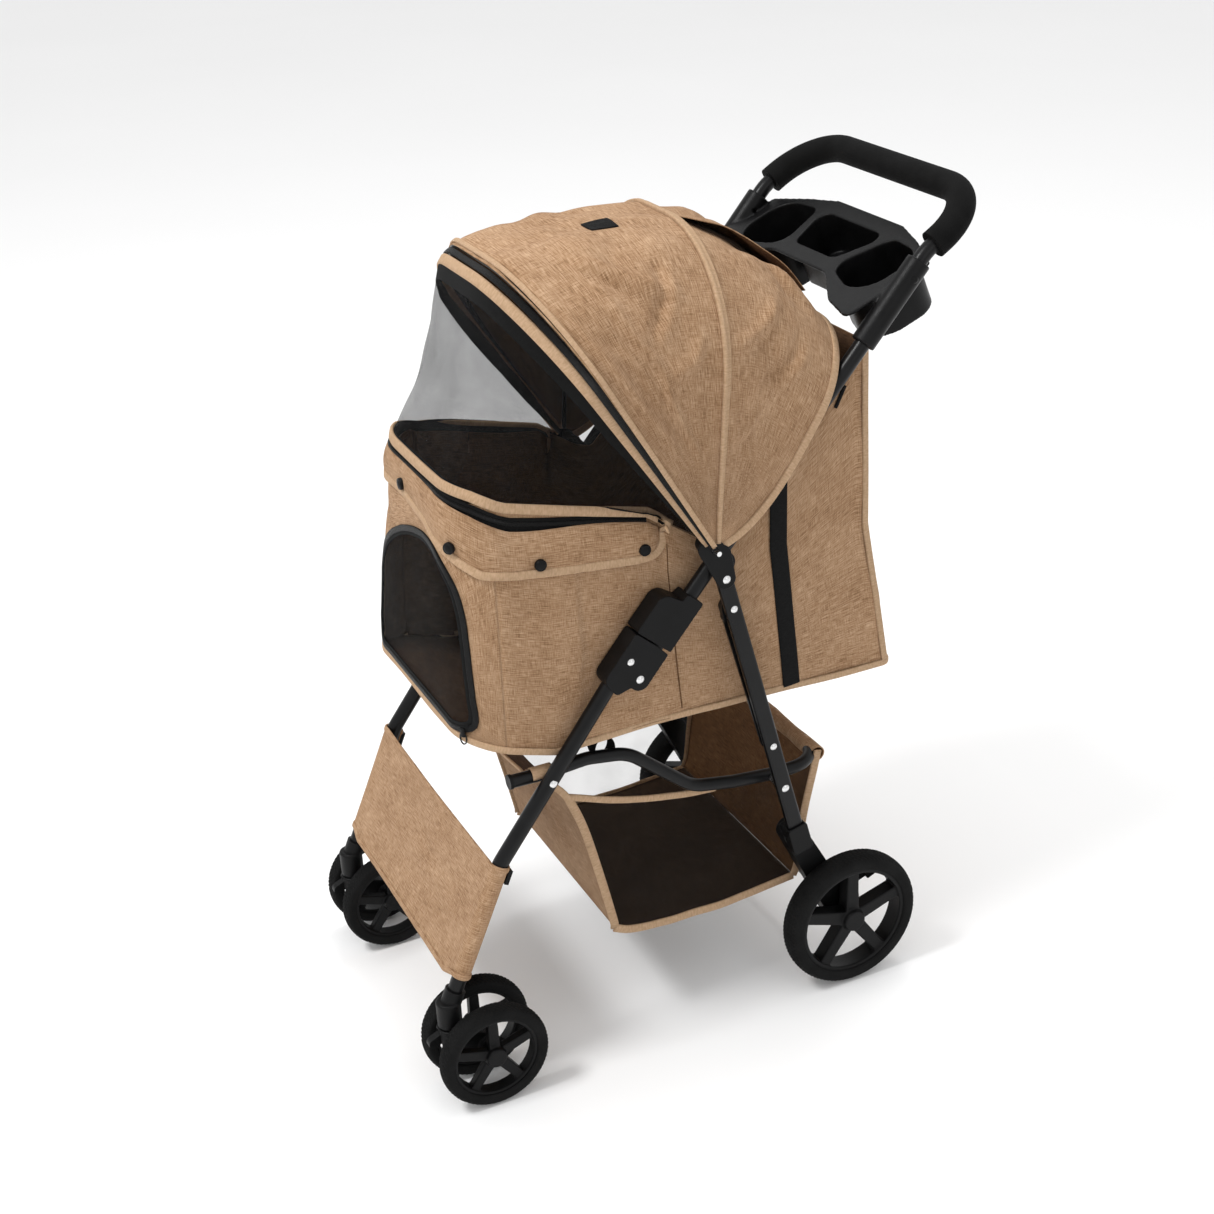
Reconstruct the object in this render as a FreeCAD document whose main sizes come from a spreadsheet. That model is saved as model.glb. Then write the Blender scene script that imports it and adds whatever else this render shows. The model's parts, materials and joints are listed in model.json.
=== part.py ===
"""Folding four-wheel pet stroller, in millimetres.

Frame: +Z up, -Y is the front, +X is the side on the pusher's left hand. The
origin is on the ground, below the middle of the bounding box.
Side views are drawn in (y, z). Angles in them run from +Y towards +Z.
"""
import FreeCAD, Part
import math
import os
import Sketcher
from FreeCAD import Placement, Rotation, Vector

doc = FreeCAD.newDocument("pet_stroller")
sheet = doc.addObject("Spreadsheet::Sheet", "Sizes")

SIZES = (
    ("leg_x", 182, "side frames, centre plane from the middle"),
    ("tube_dia", 19, "front leg and handle tube"),
    ("tube_wall", 1.5, "front leg and handle tube"),
    ("knee_y", -275, "bend of the front leg"),
    ("knee_z", 308, "bend of the front leg"),
    ("foot_y", -354, "lower end of the front leg"),
    ("foot_z", 130, "lower end of the front leg"),
    ("leg_top_y", -93, "upper end of the front leg"),
    ("leg_top_z", 546, "upper end of the front leg"),
    ("fold_y", -92, "fold pivot"),
    ("fold_z", 508, "fold pivot"),
    ("collar_y", 290, "bend of the handle tube"),
    ("collar_z", 945, "bend of the handle tube"),
    ("grip_y", 367, "cross bar of the handle"),
    ("grip_z", 993, "cross bar of the handle"),
    ("grip_dia", 34, "foam grip"),
    ("hip_y", 17, "rear leg pivot on the bracket"),
    ("hip_z", 612, "rear leg pivot on the bracket"),
    ("rail_y", 95, "rear leg pivot on the basket tube"),
    ("rail_z", 309, "rear leg pivot on the basket tube"),
    ("rear_leg_in", 192.5, "inner face of the rear leg, from the middle"),
    ("rear_leg_thick", 10, "rear leg, across"),
    ("rear_leg_width", 20, "rear leg, seen from the side"),
    ("basket_x", 163, "basket tube, from the middle"),
    ("basket_dia", 16, "basket tube"),
    ("basket_wall", 1.2, "basket tube"),
    ("pin_dia", 6, "fold, hip and rail pins"),
    ("rivet_dia", 5, "rivets"),
    ("rivet_head", 9, "rivet heads"),
    ("caster_y", -354, "swivel axis"),
    ("front_axle_y", -313, "front wheels"),
    ("front_radius", 68.5, "front wheels"),
    ("front_width", 24, "front wheels"),
    ("front_spread", 31, "front wheel from its swivel axis, across"),
    ("rear_axle_y", 185.5, "rear wheels"),
    ("rear_radius", 93, "rear wheels"),
    ("rear_width", 33, "rear wheels"),
    ("rear_wheel_x", 207, "rear wheels, from the middle"),
    ("axle_dia", 10, "rear axle"),
    ("front_axle_dia", 8, "front axles"),
    ("cabin_half", 168, "cabin side wall, from the middle"),
    ("cloth", 2.5, "cabin and basket cloth with its binding"),
    ("canopy_y", 2, "canopy pivot"),
    ("canopy_z", 652, "canopy pivot"),
    ("bow_dia", 5, "canopy bows and rim hoop"),
    ("part_gap", 0.4, "gap between parts that pass each other"),
    ("running_fit", 0.05, "radial gap of a turning pin"),
)
for row, (alias, value, note) in enumerate(SIZES, 1):
    sheet.set(f"A{row}", alias)
    sheet.set(f"B{row}", str(value))
    sheet.set(f"C{row}", note)
    sheet.setAlias(f"B{row}", alias)
doc.recompute()


def size(alias):
    """The number in a cell of the sheet."""
    return float(getattr(sheet, alias))


NODES = []
LEFT, RIGHT = 1, -1
SIDES = (("l", LEFT), ("r", RIGHT))
LEG_X = size("leg_x")
TUBE_R = size("tube_dia") / 2
FOLD = (size("fold_y"), size("fold_z"))
HIP = (size("hip_y"), size("hip_z"))
RAIL = (size("rail_y"), size("rail_z"))
KNEE = (size("knee_y"), size("knee_z"))
FOOT = (size("foot_y"), size("foot_z"))
LEG_TOP = (size("leg_top_y"), size("leg_top_z"))
COLLAR = (size("collar_y"), size("collar_z"))
CANOPY = (size("canopy_y"), size("canopy_z"))
CLEAR = size("part_gap")
PIN_R = size("pin_dia") / 2
RIVET_R = size("rivet_dia") / 2


# ---------------------------------------------------------------- geometry

def unit(a, b):
    """Unit vector from a to b in a side view."""
    d = math.dist(a, b)
    return ((b[0] - a[0]) / d, (b[1] - a[1]) / d)


UP_TUBE = unit(FOLD, COLLAR)
UP_LEG = unit(KNEE, LEG_TOP)
UP_SHIN = unit(FOOT, KNEE)


def on_tube(along, ahead=0.0):
    """Side-view point: along the handle tube from the fold pivot, and ahead of it."""
    return (FOLD[0] + along * UP_TUBE[0] - ahead * UP_TUBE[1],
            FOLD[1] + along * UP_TUBE[1] + ahead * UP_TUBE[0])


def on_leg(along, ahead=0.0):
    """Side-view point: down the front leg's upper part from its top, and ahead of it."""
    return (LEG_TOP[0] - along * UP_LEG[0] - ahead * UP_LEG[1],
            LEG_TOP[1] - along * UP_LEG[1] + ahead * UP_LEG[0])


def knots(points, radii, closed=False):
    """Straight runs and fillet arcs of a polyline, as (kind, vectors)."""
    pts = [Vector(*p) for p in points]
    count = len(pts)
    if not isinstance(radii, (list, tuple)):
        radii = [radii] * count
    cuts = []
    for i, corner in enumerate(pts):
        inner = closed or 0 < i < count - 1
        if not inner or radii[i] <= 0:
            cuts.append((corner, None, corner))
            continue
        to_a = (pts[i - 1] - corner).normalize()
        to_b = (pts[(i + 1) % count] - corner).normalize()
        half = to_a.getAngle(to_b) / 2
        if abs(half - math.pi / 2) < 1e-4:
            cuts.append((corner, None, corner))
            continue
        reach = radii[i] / math.tan(half)
        bisector = (to_a + to_b).normalize()
        middle = corner + bisector * (radii[i] / math.sin(half) - radii[i])
        cuts.append((corner + to_a * reach, middle, corner + to_b * reach))
    pieces = []
    for i, (start, middle, end) in enumerate(cuts):
        if middle is not None:
            pieces.append(("arc", (start, middle, end)))
        last = i == count - 1
        if last and not closed:
            break
        following = cuts[(i + 1) % count][0]
        if (following - end).Length > 1e-4:
            pieces.append(("line", (end, following)))
    return pieces


def curves(pieces):
    """Part curves of knots()."""
    made = []
    for kind, pts in pieces:
        made.append(Part.Arc(*pts) if kind == "arc" else Part.LineSegment(*pts))
    return made


def wire(points, radii=0, closed=False):
    """Filleted polyline as a wire."""
    return Part.Wire([c.toShape() for c in curves(knots(points, radii, closed))])


def rod(path, radius):
    """Solid round bar along a wire."""
    start = path.OrderedEdges[0]
    tangent = start.tangentAt(start.FirstParameter)
    ring = Part.Wire(Part.makeCircle(radius, path.OrderedVertexes[0].Point, tangent))
    return path.makePipeShell([ring], True, False)


def pipe(path, radius, wall):
    """Hollow round tube along a wire."""
    return rod(path, radius).cut(rod(path, radius - wall))


def pin(y, z, x0, x1, radius):
    """Round bar across the stroller, from x0 to x1."""
    return Part.makeCylinder(radius, abs(x1 - x0), Vector(min(x0, x1), y, z), Vector(1, 0, 0))


def slab(points, x0, x1, radii=0):
    """Prism of a side-view outline between two x."""
    face = Part.Face(wire([(x0, y, z) for y, z in points], radii, closed=True))
    return face.extrude(Vector(x1 - x0, 0, 0))


def link(a, ra, b, rb, x0, x1):
    """Plate round two circles of a side view, with their outer tangents."""
    d = math.dist(a, b)
    base = math.atan2(b[1] - a[1], b[0] - a[0])
    lean = math.acos((ra - rb) / d)
    corners = []
    for centre, radius, side in ((a, ra, 1), (b, rb, 1), (b, rb, -1), (a, ra, -1)):
        angle = base + side * lean
        corners.append((centre[0] + radius * math.cos(angle), centre[1] + radius * math.sin(angle)))
    shape = slab(corners, x0, x1)
    for centre, radius in ((a, ra), (b, rb)):
        shape = shape.fuse(pin(centre[0], centre[1], x0, x1, radius))
    return shape.removeSplitter()


def mirrored(shape):
    """The same shape on the other side of the stroller."""
    return shape.mirror(Vector(0, 0, 0), Vector(1, 0, 0))


# ------------------------------------------------------- document objects

def keep(obj, label):
    """Name an object as one of the stroller's parts."""
    obj.Label = label
    NODES.append(obj)
    return obj


def feature(label, shape):
    """A part whose shape neither a sketched body nor a primitive makes."""
    obj = doc.addObject("Part::Feature", label)
    obj.Shape = shape
    return keep(obj, label)


def mirror_of(source, label):
    """The right-hand part that mirrors a left-hand one."""
    obj = doc.addObject("Part::Mirroring", label)
    obj.Source = source
    obj.Base = Vector(0, 0, 0)
    obj.Normal = Vector(1, 0, 0)
    return keep(obj, label)


def new_body(label, place=None):
    """Body, placed if a place is given."""
    body = doc.addObject("PartDesign::Body", label)
    if place is not None:
        body.Placement = place
    return body


def new_sketch(body, name, role):
    """Sketch on one of the body's own origin planes."""
    plane = next(f for f in body.Origin.OriginFeatures if f.Role == role)
    sketch = body.newObject("Sketcher::SketchObject", name)
    sketch.AttachmentSupport = [(plane, "")]
    sketch.MapMode = "FlatFace"
    return sketch


def draw(sketch, points, radii=0, closed=True):
    """Filleted polyline in a sketch."""
    flat = [(u, v, 0) for u, v in points]
    sketch.addGeometry(curves(knots(flat, radii, closed)), False)


def draw_circle(sketch, u, v, radius, formula=None):
    """Circle in a sketch, its radius tied to the sheet."""
    index = sketch.addGeometry(Part.Circle(Vector(u, v, 0), Vector(0, 0, 1), radius), False)
    number = sketch.addConstraint(Sketcher.Constraint("Radius", index, radius))
    if formula:
        sketch.setExpression(f"Constraints[{number}]", formula)
    return index


def add_pad(body, sketch, length, formula=None, symmetric=False):
    pad = body.newObject("PartDesign::Pad", sketch.Name + "_pad")
    pad.Profile = sketch
    pad.Length = length
    pad.Midplane = symmetric
    if formula:
        pad.setExpression("Length", formula)
    sketch.Visibility = False
    body.Tip = pad
    return pad


def add_pocket(body, sketch, length, symmetric=True):
    pocket = body.newObject("PartDesign::Pocket", sketch.Name + "_cut")
    pocket.Profile = sketch
    pocket.Length = length
    pocket.Midplane = symmetric
    body.Tip = pocket
    return pocket


def add_turn(body, sketch, axis="H_Axis"):
    """Full revolution of a sketch about its own axis."""
    turn = body.newObject("PartDesign::Revolution", sketch.Name + "_turn")
    turn.Profile = sketch
    turn.ReferenceAxis = (sketch, [axis])
    turn.Angle = 360
    body.Tip = turn
    return turn


def side_pipe(label, points, radii):
    """Round frame tube whose path lies in a side frame's plane."""
    body = new_body(label)
    path = new_sketch(body, label + "_path", "YZ_Plane")
    path.AttachmentOffset = Placement(Vector(0, 0, LEG_X), Rotation())
    path.setExpression("AttachmentOffset.Base.z", "Sizes.leg_x")
    draw(path, points, radii, closed=False)
    doc.recompute()
    ring = body.newObject("Sketcher::SketchObject", label + "_ring")
    ring.AttachmentSupport = [(path, "Edge1")]
    ring.MapMode = "NormalToEdge"
    ring.MapPathParameter = 0
    draw_circle(ring, 0, 0, TUBE_R, "Sizes.tube_dia / 2")
    draw_circle(ring, 0, 0, TUBE_R - size("tube_wall"), "Sizes.tube_dia / 2 - Sizes.tube_wall")
    sweep = body.newObject("PartDesign::AdditivePipe", label + "_sweep")
    sweep.Profile = ring
    sweep.Spine = (path, ["Edge%d" % (i + 1) for i in range(path.GeometryCount)])
    body.Tip = sweep
    doc.recompute()
    return body


def drill(body, name, y, z, radius, formula):
    """Hole across a body at a point of its side view."""
    sketch = new_sketch(body, name, "YZ_Plane")
    draw_circle(sketch, y, z, radius, formula)
    add_pocket(body, sketch, 4 * LEG_X)
    doc.recompute()


# ------------------------------------------------------------ front frame

LEG_RIVET = on_leg(16)
BASKET_PIVOT = tuple(round(at, 1) for at in on_leg(184))


def front_leg():
    leg = side_pipe("front_leg_l", [FOOT, KNEE, LEG_TOP], 60)
    drill(leg, "lock_rivet_hole", *LEG_RIVET, RIVET_R, "Sizes.rivet_dia / 2")
    drill(leg, "basket_pivot_hole", *BASKET_PIVOT, PIN_R, "Sizes.pin_dia / 2")
    keep(leg, "front_leg_l")
    mirror_of(leg, "front_leg_r")


LOCK_HALF = 14
CHEEK = 3.8
LOCK_SPLIT = 43
NOSE = 41
PIVOT_BOSS = 14
CORNER_ROOM = 13.7


def lock_housing():
    """Lower half of the lock: a shoe on the leg with two cheeks for the pivot."""
    body = new_body("lock_housing_l")
    outline = [on_tube(-PIVOT_BOSS, -PIVOT_BOSS), on_tube(LOCK_SPLIT - 2, -PIVOT_BOSS + 1),
               on_tube(LOCK_SPLIT, 5), on_tube(LOCK_SPLIT, NOSE),
               on_tube(-24, NOSE - 1), on_tube(-30, 14), on_tube(-PIVOT_BOSS, 4)]
    sketch = new_sketch(body, "lock_housing_outline", "YZ_Plane")
    sketch.AttachmentOffset = Placement(Vector(0, 0, LEG_X - LOCK_HALF), Rotation())
    draw(sketch, outline, [13, 2, 0, 3, 12, 6, 0])
    add_pad(body, sketch, 2 * LOCK_HALF)
    doc.recompute()
    # The handle tube swings rearwards out of this slot.
    slot = new_sketch(body, "lock_slot", "YZ_Plane")
    slot.AttachmentOffset = Placement(Vector(0, 0, LEG_X), Rotation())
    draw(slot, [on_tube(-60, -60), on_tube(80, -60), on_tube(80, 10.4), on_tube(-60, 10.4)])
    add_pocket(body, slot, 2 * (LOCK_HALF - CHEEK))
    doc.recompute()
    # Room for the tube's lower corner as it turns.
    corner_room = new_sketch(body, "corner_room", "YZ_Plane")
    corner_room.AttachmentOffset = Placement(Vector(0, 0, LEG_X), Rotation())
    draw_circle(corner_room, FOLD[0], FOLD[1], CORNER_ROOM)
    add_pocket(body, corner_room, 2 * (LOCK_HALF - CHEEK))
    doc.recompute()
    bore = new_sketch(body, "leg_bore", "YZ_Plane")
    bore.AttachmentOffset = Placement(Vector(0, 0, LEG_X), Rotation())
    draw(bore, [on_leg(0, -TUBE_R), on_leg(0, TUBE_R), on_leg(200, TUBE_R), on_leg(200, -TUBE_R)])
    add_pocket(body, bore, 2 * TUBE_R)
    for name, point, radius, formula in (
            ("pivot_hole", FOLD, PIN_R, "Sizes.pin_dia / 2"),
            ("rivet_hole", LEG_RIVET, RIVET_R, "Sizes.rivet_dia / 2")):
        drill(body, name, *point, radius, formula)
    keep(body, "lock_housing_l")
    mirror_of(body, "lock_housing_r")


HEAD_RISE = 2.2
OUTER_HEAD = (1,)


def domed_pin(y, z, x0, x1, radius, heads=(-1, 1)):
    """Round shank across the stroller with a low dome at its inner (-1) and outer (1) ends."""
    shape = pin(y, z, x0, x1, radius)
    head_r = radius + 2
    ball_r = (head_r ** 2 + HEAD_RISE ** 2) / (2 * HEAD_RISE)
    latitude = math.degrees(math.asin((ball_r - HEAD_RISE) / ball_r))
    for way in heads:
        x = x1 if way > 0 else x0
        centre = Vector(x - way * (ball_r - HEAD_RISE), y, z)
        shape = shape.fuse(Part.makeSphere(ball_r, centre, Vector(way, 0, 0), latitude, 90))
    return shape


def both_sides(shapes):
    """Left-hand solids and their mirror images in one compound."""
    return Part.makeCompound(list(shapes) + [mirrored(s) for s in shapes])


def lock_pins():
    """Fold pivot pin of each side, held in the cheeks of the lower lock half."""
    inner, outer = LEG_X - LOCK_HALF + CLEAR, LEG_X + LOCK_HALF
    feature("fold_pins", both_sides([domed_pin(*FOLD, inner, outer, PIN_R, OUTER_HEAD)]))


def front_rivets():
    """Rivets through the legs: one in each lock, and the basket tube's pivots."""
    rivet = domed_pin(*LEG_RIVET, LEG_X - LOCK_HALF + CLEAR, LEG_X + LOCK_HALF, RIVET_R, OUTER_HEAD)
    inner = size("basket_x") - size("basket_dia") / 2 - 1.2
    pivot = domed_pin(*BASKET_PIVOT, inner, LEG_X + TUBE_R - 0.6, PIN_R)
    feature("front_leg_rivets", both_sides([rivet, pivot]))


PANEL_GAP = 0.3
PANEL_THICK = 2
PANEL_LOW, PANEL_HIGH = 38, 192


def on_shin(along, ahead=0.0):
    """Side-view point: up the front leg's lower part from its foot, and ahead of it."""
    return (FOOT[0] + along * UP_SHIN[0] - ahead * UP_SHIN[1],
            FOOT[1] + along * UP_SHIN[1] + ahead * UP_SHIN[0])


def leg_panel():
    """Cloth panel between the shins, sewn into a sleeve round each leg."""
    low, high = Vector(LEG_X, *on_shin(PANEL_LOW)), Vector(LEG_X, *on_shin(PANEL_HIGH))
    path = Part.Wire([Part.LineSegment(low, high).toShape()])
    inner_r = TUBE_R + PANEL_GAP
    outer_r = inner_r + PANEL_THICK
    sleeve = rod(path, outer_r).cut(rod(path, inner_r))
    sheet_outline = [on_shin(PANEL_LOW, inner_r), on_shin(PANEL_LOW, outer_r),
                     on_shin(PANEL_HIGH, outer_r), on_shin(PANEL_HIGH, inner_r)]
    web = slab(sheet_outline, -LEG_X, LEG_X)
    feature("leg_panel", web.fuse([sleeve, mirrored(sleeve)]).removeSplitter())


def panel_clips():
    """Plastic clip that closes the top of each sleeve behind the leg."""
    back = -(TUBE_R + PANEL_GAP + PANEL_THICK)
    outline = [on_shin(172, back), on_shin(172, back - 5), on_shin(190, back - 5), on_shin(190, back)]
    clip = slab(outline, LEG_X - 3, LEG_X + 6, 0)
    feature("panel_clips", both_sides([clip]))


SOCKET_LOW, SOCKET_HIGH = 106, 142


def caster_socket():
    """Plastic cup on the leg's foot that takes the caster's swivel stem."""
    x, y = LEG_X, size("caster_y")
    cup = Part.makeCylinder(15, SOCKET_HIGH - SOCKET_LOW, Vector(x, y, SOCKET_LOW))
    cup = cup.makeFillet(3, [e for e in cup.Edges if e.Length > 80])
    neck_path = Part.Wire([Part.LineSegment(Vector(x, *on_shin(2)), Vector(x, *on_shin(26))).toShape()])
    neck = rod(neck_path, TUBE_R + 3)
    leg_path = Part.Wire([Part.LineSegment(Vector(x, *on_shin(0)), Vector(x, *on_shin(60))).toShape()])
    stem = Part.makeCylinder(5 + size("running_fit"), 24, Vector(x, y, SOCKET_LOW - 1))
    shape = cup.fuse(neck).cut(rod(leg_path, TUBE_R)).cut(stem)
    socket = feature("caster_socket_l", shape)
    mirror_of(socket, "caster_socket_r")


# ----------------------------------------------------------------- casters

FORK_HALF = 10
DISC_LOW = 88


def caster_fork():
    """Caster body: swivel disc and stem, and a trailing arm to the axle."""
    y, axle = size("caster_y"), (size("front_axle_y"), size("front_radius"))
    disc = Part.makeCylinder(17, SOCKET_LOW - CLEAR - DISC_LOW, Vector(LEG_X, y, DISC_LOW))
    disc = disc.makeFillet(2.5, [e for e in disc.Edges if e.Length > 80])
    stem = Part.makeCylinder(5, 30, Vector(LEG_X, y, DISC_LOW + 6))
    arm = link((y + 2, 84), 15, axle, 15, LEG_X - FORK_HALF, LEG_X + FORK_HALF)
    hub = pin(*axle, LEG_X - 17, LEG_X + 17, 11)
    bore = pin(*axle, LEG_X - 30, LEG_X + 30, size("front_axle_dia") / 2)
    lever_slot = slab([(y - 20, 84), (y - 4, 84), (y - 4, 104), (y - 20, 104)], LEG_X - 5.4, LEG_X + 5.4)
    shape = disc.fuse([stem, arm, hub]).cut(bore)
    shape = shape.cut(lever_slot.common(Part.makeBox(60, 13, 40, Vector(LEG_X - 30, y - 20, 70))))
    fork = feature("caster_fork_l", shape)
    mirror_of(fork, "caster_fork_r")


def swivel_lever():
    """Tab in front of the caster that locks its swivel."""
    y = size("caster_y")
    hinge = (y - 13, 95)
    tab = link(hinge, 4.5, (y - 23, 88), 7, LEG_X - 5, LEG_X + 5)
    lever = feature("swivel_lever_l", tab)
    mirror_of(lever, "swivel_lever_r")


def front_axle():
    """Axle of a pair of front wheels, with a cap at each end."""
    y, z = size("front_axle_y"), size("front_radius")
    reach = size("front_spread") + size("front_width") / 2
    bar = doc.addObject("Part::Cylinder", "front_axle_bar")
    bar.setExpression("Radius", "Sizes.front_axle_dia / 2")
    bar.setExpression("Height", "2 * Sizes.front_spread + Sizes.front_width - 10")
    bar.Placement = Placement(Vector(LEG_X - reach + 5, y, z), Rotation(Vector(0, 1, 0), 90))
    keep(bar, "front_axle_l")
    mirror_of(bar, "front_axle_r")


# ------------------------------------------------------------------ wheels

def wheel_place(x, y, z):
    """Puts a body modelled with its axle along X onto a wheel's centre."""
    return Placement(Vector(x, y, z), Rotation())


def rim(label, kind, place, hub_r, spoke_wide):
    """Five-spoke rim: hub and rim ring turned in one, then a spoke repeated round it."""
    radius, width = size(kind + "_radius"), size(kind + "_width")
    bed = radius * 0.82
    half = width / 2
    bore = (size("axle_dia") if kind == "rear" else size("front_axle_dia")) / 2
    body = new_body(label, place)
    ring = new_sketch(body, label + "_ring", "XY_Plane")
    draw(ring, [(-half + 3, bed - 7), (half - 3, bed - 7), (half - 3, bed), (-half + 3, bed)], 1.5)
    add_turn(body, ring)
    hub = new_sketch(body, label + "_hub", "XY_Plane")
    fit = bore + size("running_fit")
    draw(hub, [(-half + 1, fit), (half - 4.5, fit), (half - 4.5, 0.01), (half, 0.01),
               (half, hub_r - 1), (half - 3, hub_r), (-half + 1, hub_r)])
    add_turn(body, hub)
    doc.recompute()
    spoke = new_sketch(body, label + "_spoke", "YZ_Plane")
    inner, outer = hub_r - 2, bed - 5
    draw(spoke, [(-spoke_wide / 2, inner), (spoke_wide / 2, inner),
                 (spoke_wide * 0.42, outer), (-spoke_wide * 0.42, outer)])
    pad = add_pad(body, spoke, width - 13, symmetric=True)
    doc.recompute()
    pattern = body.newObject("PartDesign::PolarPattern", label + "_spokes")
    pattern.Originals = [pad]
    axis = next(f for f in body.Origin.OriginFeatures if f.Role == "X_Axis")
    pattern.Axis = (axis, [""])
    pattern.Angle = 360
    pattern.Occurrences = 5
    body.Tip = pattern
    return keep(body, label)


def tyre(label, kind, place):
    """Foam tyre with rounded shoulders on a rim of the same kind."""
    radius, width = size(kind + "_radius"), size(kind + "_width")
    bed, half = radius * 0.82, width / 2
    body = new_body(label, place)
    section = new_sketch(body, label + "_section", "XY_Plane")
    draw(section, [(-half, bed), (half, bed), (half, radius), (-half, radius)],
         [1, 1, half * 0.55, half * 0.55])
    add_turn(body, section)
    return keep(body, label)


def wheels():
    for side, sign in SIDES:
        rear = wheel_place(sign * size("rear_wheel_x"), size("rear_axle_y"), size("rear_radius"))
        if sign == RIGHT:
            rear.Rotation = Rotation(Vector(0, 0, 1), 180)
        rim("rear_rim_" + side, "rear", rear, 15, 19)
        tyre("rear_tyre_" + side, "rear", rear)
        for place, step in (("outer", 1), ("inner", -1)):
            x = sign * (LEG_X + step * size("front_spread"))
            front = wheel_place(x, size("front_axle_y"), size("front_radius"))
            if sign * step == RIGHT:
                front.Rotation = Rotation(Vector(0, 0, 1), 180)
            rim(f"front_rim_{side}_{place}", "front", front, 13, 14)
            tyre(f"front_tyre_{side}_{place}", "front", front)


# ------------------------------------------------------------ handle frame

GRIP_CORNER = 72


def handle_path(start_back):
    """One tube from the left lock round the push bar to the right lock."""
    low, top = on_tube(-start_back), (size("grip_y"), size("grip_z"))
    left = [(LEG_X, *low), (LEG_X, *COLLAR), (LEG_X, *top)]
    right = [(-x, y, z) for x, y, z in reversed(left)]
    return wire(left + right, [0, 60, GRIP_CORNER, GRIP_CORNER, 60, 0])


TRAY_SCREW = on_tube(545)


def handle_tube():
    path = handle_path(9)
    shape = pipe(path, TUBE_R, size("tube_wall"))
    holes = [pin(*FOLD, LEG_X - 20, LEG_X + 20, PIN_R + size("running_fit")),
             pin(*TRAY_SCREW, LEG_X - 20, LEG_X + 20, RIVET_R)]
    feature("handle_tube", shape.cut(holes + [mirrored(h) for h in holes]))


def handle_grip():
    """Foam sleeve over the push bar, from one tray collar to the other."""
    ahead = unit(COLLAR, (size("grip_y"), size("grip_z")))
    low = (COLLAR[0] + 10 * ahead[0], COLLAR[1] + 10 * ahead[1])
    top = (size("grip_y"), size("grip_z"))
    left = [(LEG_X, *low), (LEG_X, *top)]
    right = [(-x, y, z) for x, y, z in reversed(left)]
    path = wire(left + right, [0, GRIP_CORNER, GRIP_CORNER, 0])
    feature("handle_grip", rod(path, size("grip_dia") / 2).cut(rod(path, TUBE_R)))


TRAY_TILT = 22
TRAY_AT = (277, 920)
TRAY_THICK = 4
CUP_DEEP = 66
BIN_DEEP = 54


def tray_place(shape):
    """Moves a shape from the tray's flat frame to its tilted place."""
    shape = shape.copy()
    shape.Placement = Placement(Vector(0, *TRAY_AT), Rotation(Vector(1, 0, 0), TRAY_TILT))
    return shape


def flat_prism(points, z0, z1, radii):
    """Upright prism of a plan outline."""
    face = Part.Face(wire([(x, y, z0) for x, y in points], radii, closed=True))
    return face.extrude(Vector(0, 0, z1 - z0))


def cup_outline(grow):
    """Plan outline of the left cup: round outside, flatter towards the middle bin."""
    return ([(58 - grow, -38 - grow), (150 + grow, -66 - grow),
             (152 + grow, 30 + grow), (84 - grow, 36 + grow)],
            [24 + grow, 34 + grow, 34 + grow, 18 + grow])


def bin_outline(grow):
    """Plan outline of the middle bin, wider at the back."""
    wide, narrow = 72 + grow, 44 + grow
    return ([(-wide, 36 + grow), (-narrow, -26 - grow), (narrow, -26 - grow), (wide, 36 + grow)],
            [16 + grow, 14 + grow, 14 + grow, 16 + grow])


def cup_tray():
    """Moulded tray between the handle's sides: two cups, a bin and two sleeves."""
    rim_points = [(-176, 24), (-120, 46), (-70, 60), (70, 60), (120, 46), (176, 24),
                  (176, -96), (120, -84), (62, -50), (-62, -50), (-120, -84), (-176, -96)]
    radii = [6, 30, 40, 40, 30, 6, 10, 30, 40, 40, 30, 10]
    deck = flat_prism(rim_points, -TRAY_THICK, 0, radii)
    wells, walls = [], []
    for outline, deep in ((cup_outline, CUP_DEEP), (bin_outline, BIN_DEEP)):
        inner_pts, inner_radii = outline(0)
        outer_pts, outer_radii = outline(3)
        walls.append(flat_prism(outer_pts, -deep - 3, 0, outer_radii))
        wells.append(flat_prism(inner_pts, -deep, 5, inner_radii))
        if outline is cup_outline:
            walls.append(mirrored(walls[-1]))
            wells.append(mirrored(wells[-1]))
    shape = tray_place(deck.fuse(walls).removeSplitter())
    low, high = on_tube(455), on_tube(566)
    run = Part.Wire([Part.LineSegment(Vector(LEG_X, *low), Vector(LEG_X, *high)).toShape()])
    sleeve = rod(run, TUBE_R + 5)
    cheek = slab([on_tube(455, -13), on_tube(455, 18), (184, 888), (290, 932), on_tube(566, 13),
                  on_tube(566, -13)], LEG_X - 24, LEG_X + 14, [10, 6, 4, 4, 4, 10])
    sides = [sleeve, cheek]
    shape = shape.fuse(sides + [mirrored(s) for s in sides])
    run = Part.LineSegment(Vector(LEG_X, *on_tube(430)), Vector(LEG_X, *on_tube(600)))
    bores = [rod(Part.Wire([run.toShape()]), TUBE_R),
             pin(*TRAY_SCREW, LEG_X - 40, LEG_X + 40, RIVET_R)]
    cuts = bores + [mirrored(b) for b in bores] + [tray_place(w) for w in wells]
    feature("cup_tray", shape.cut(cuts))


def tray_screws():
    """Screws that hold the tray's sleeves on the tube."""
    shape = domed_pin(*TRAY_SCREW, LEG_X - 8, LEG_X + LOCK_HALF, RIVET_R)
    feature("tray_screws", both_sides([shape]))


PLATE_IN, PLATE_OUT = 203, 205.5
BRACKET_TOP = (-7, 655)
BRACKET_MID = (9, 642)


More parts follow.
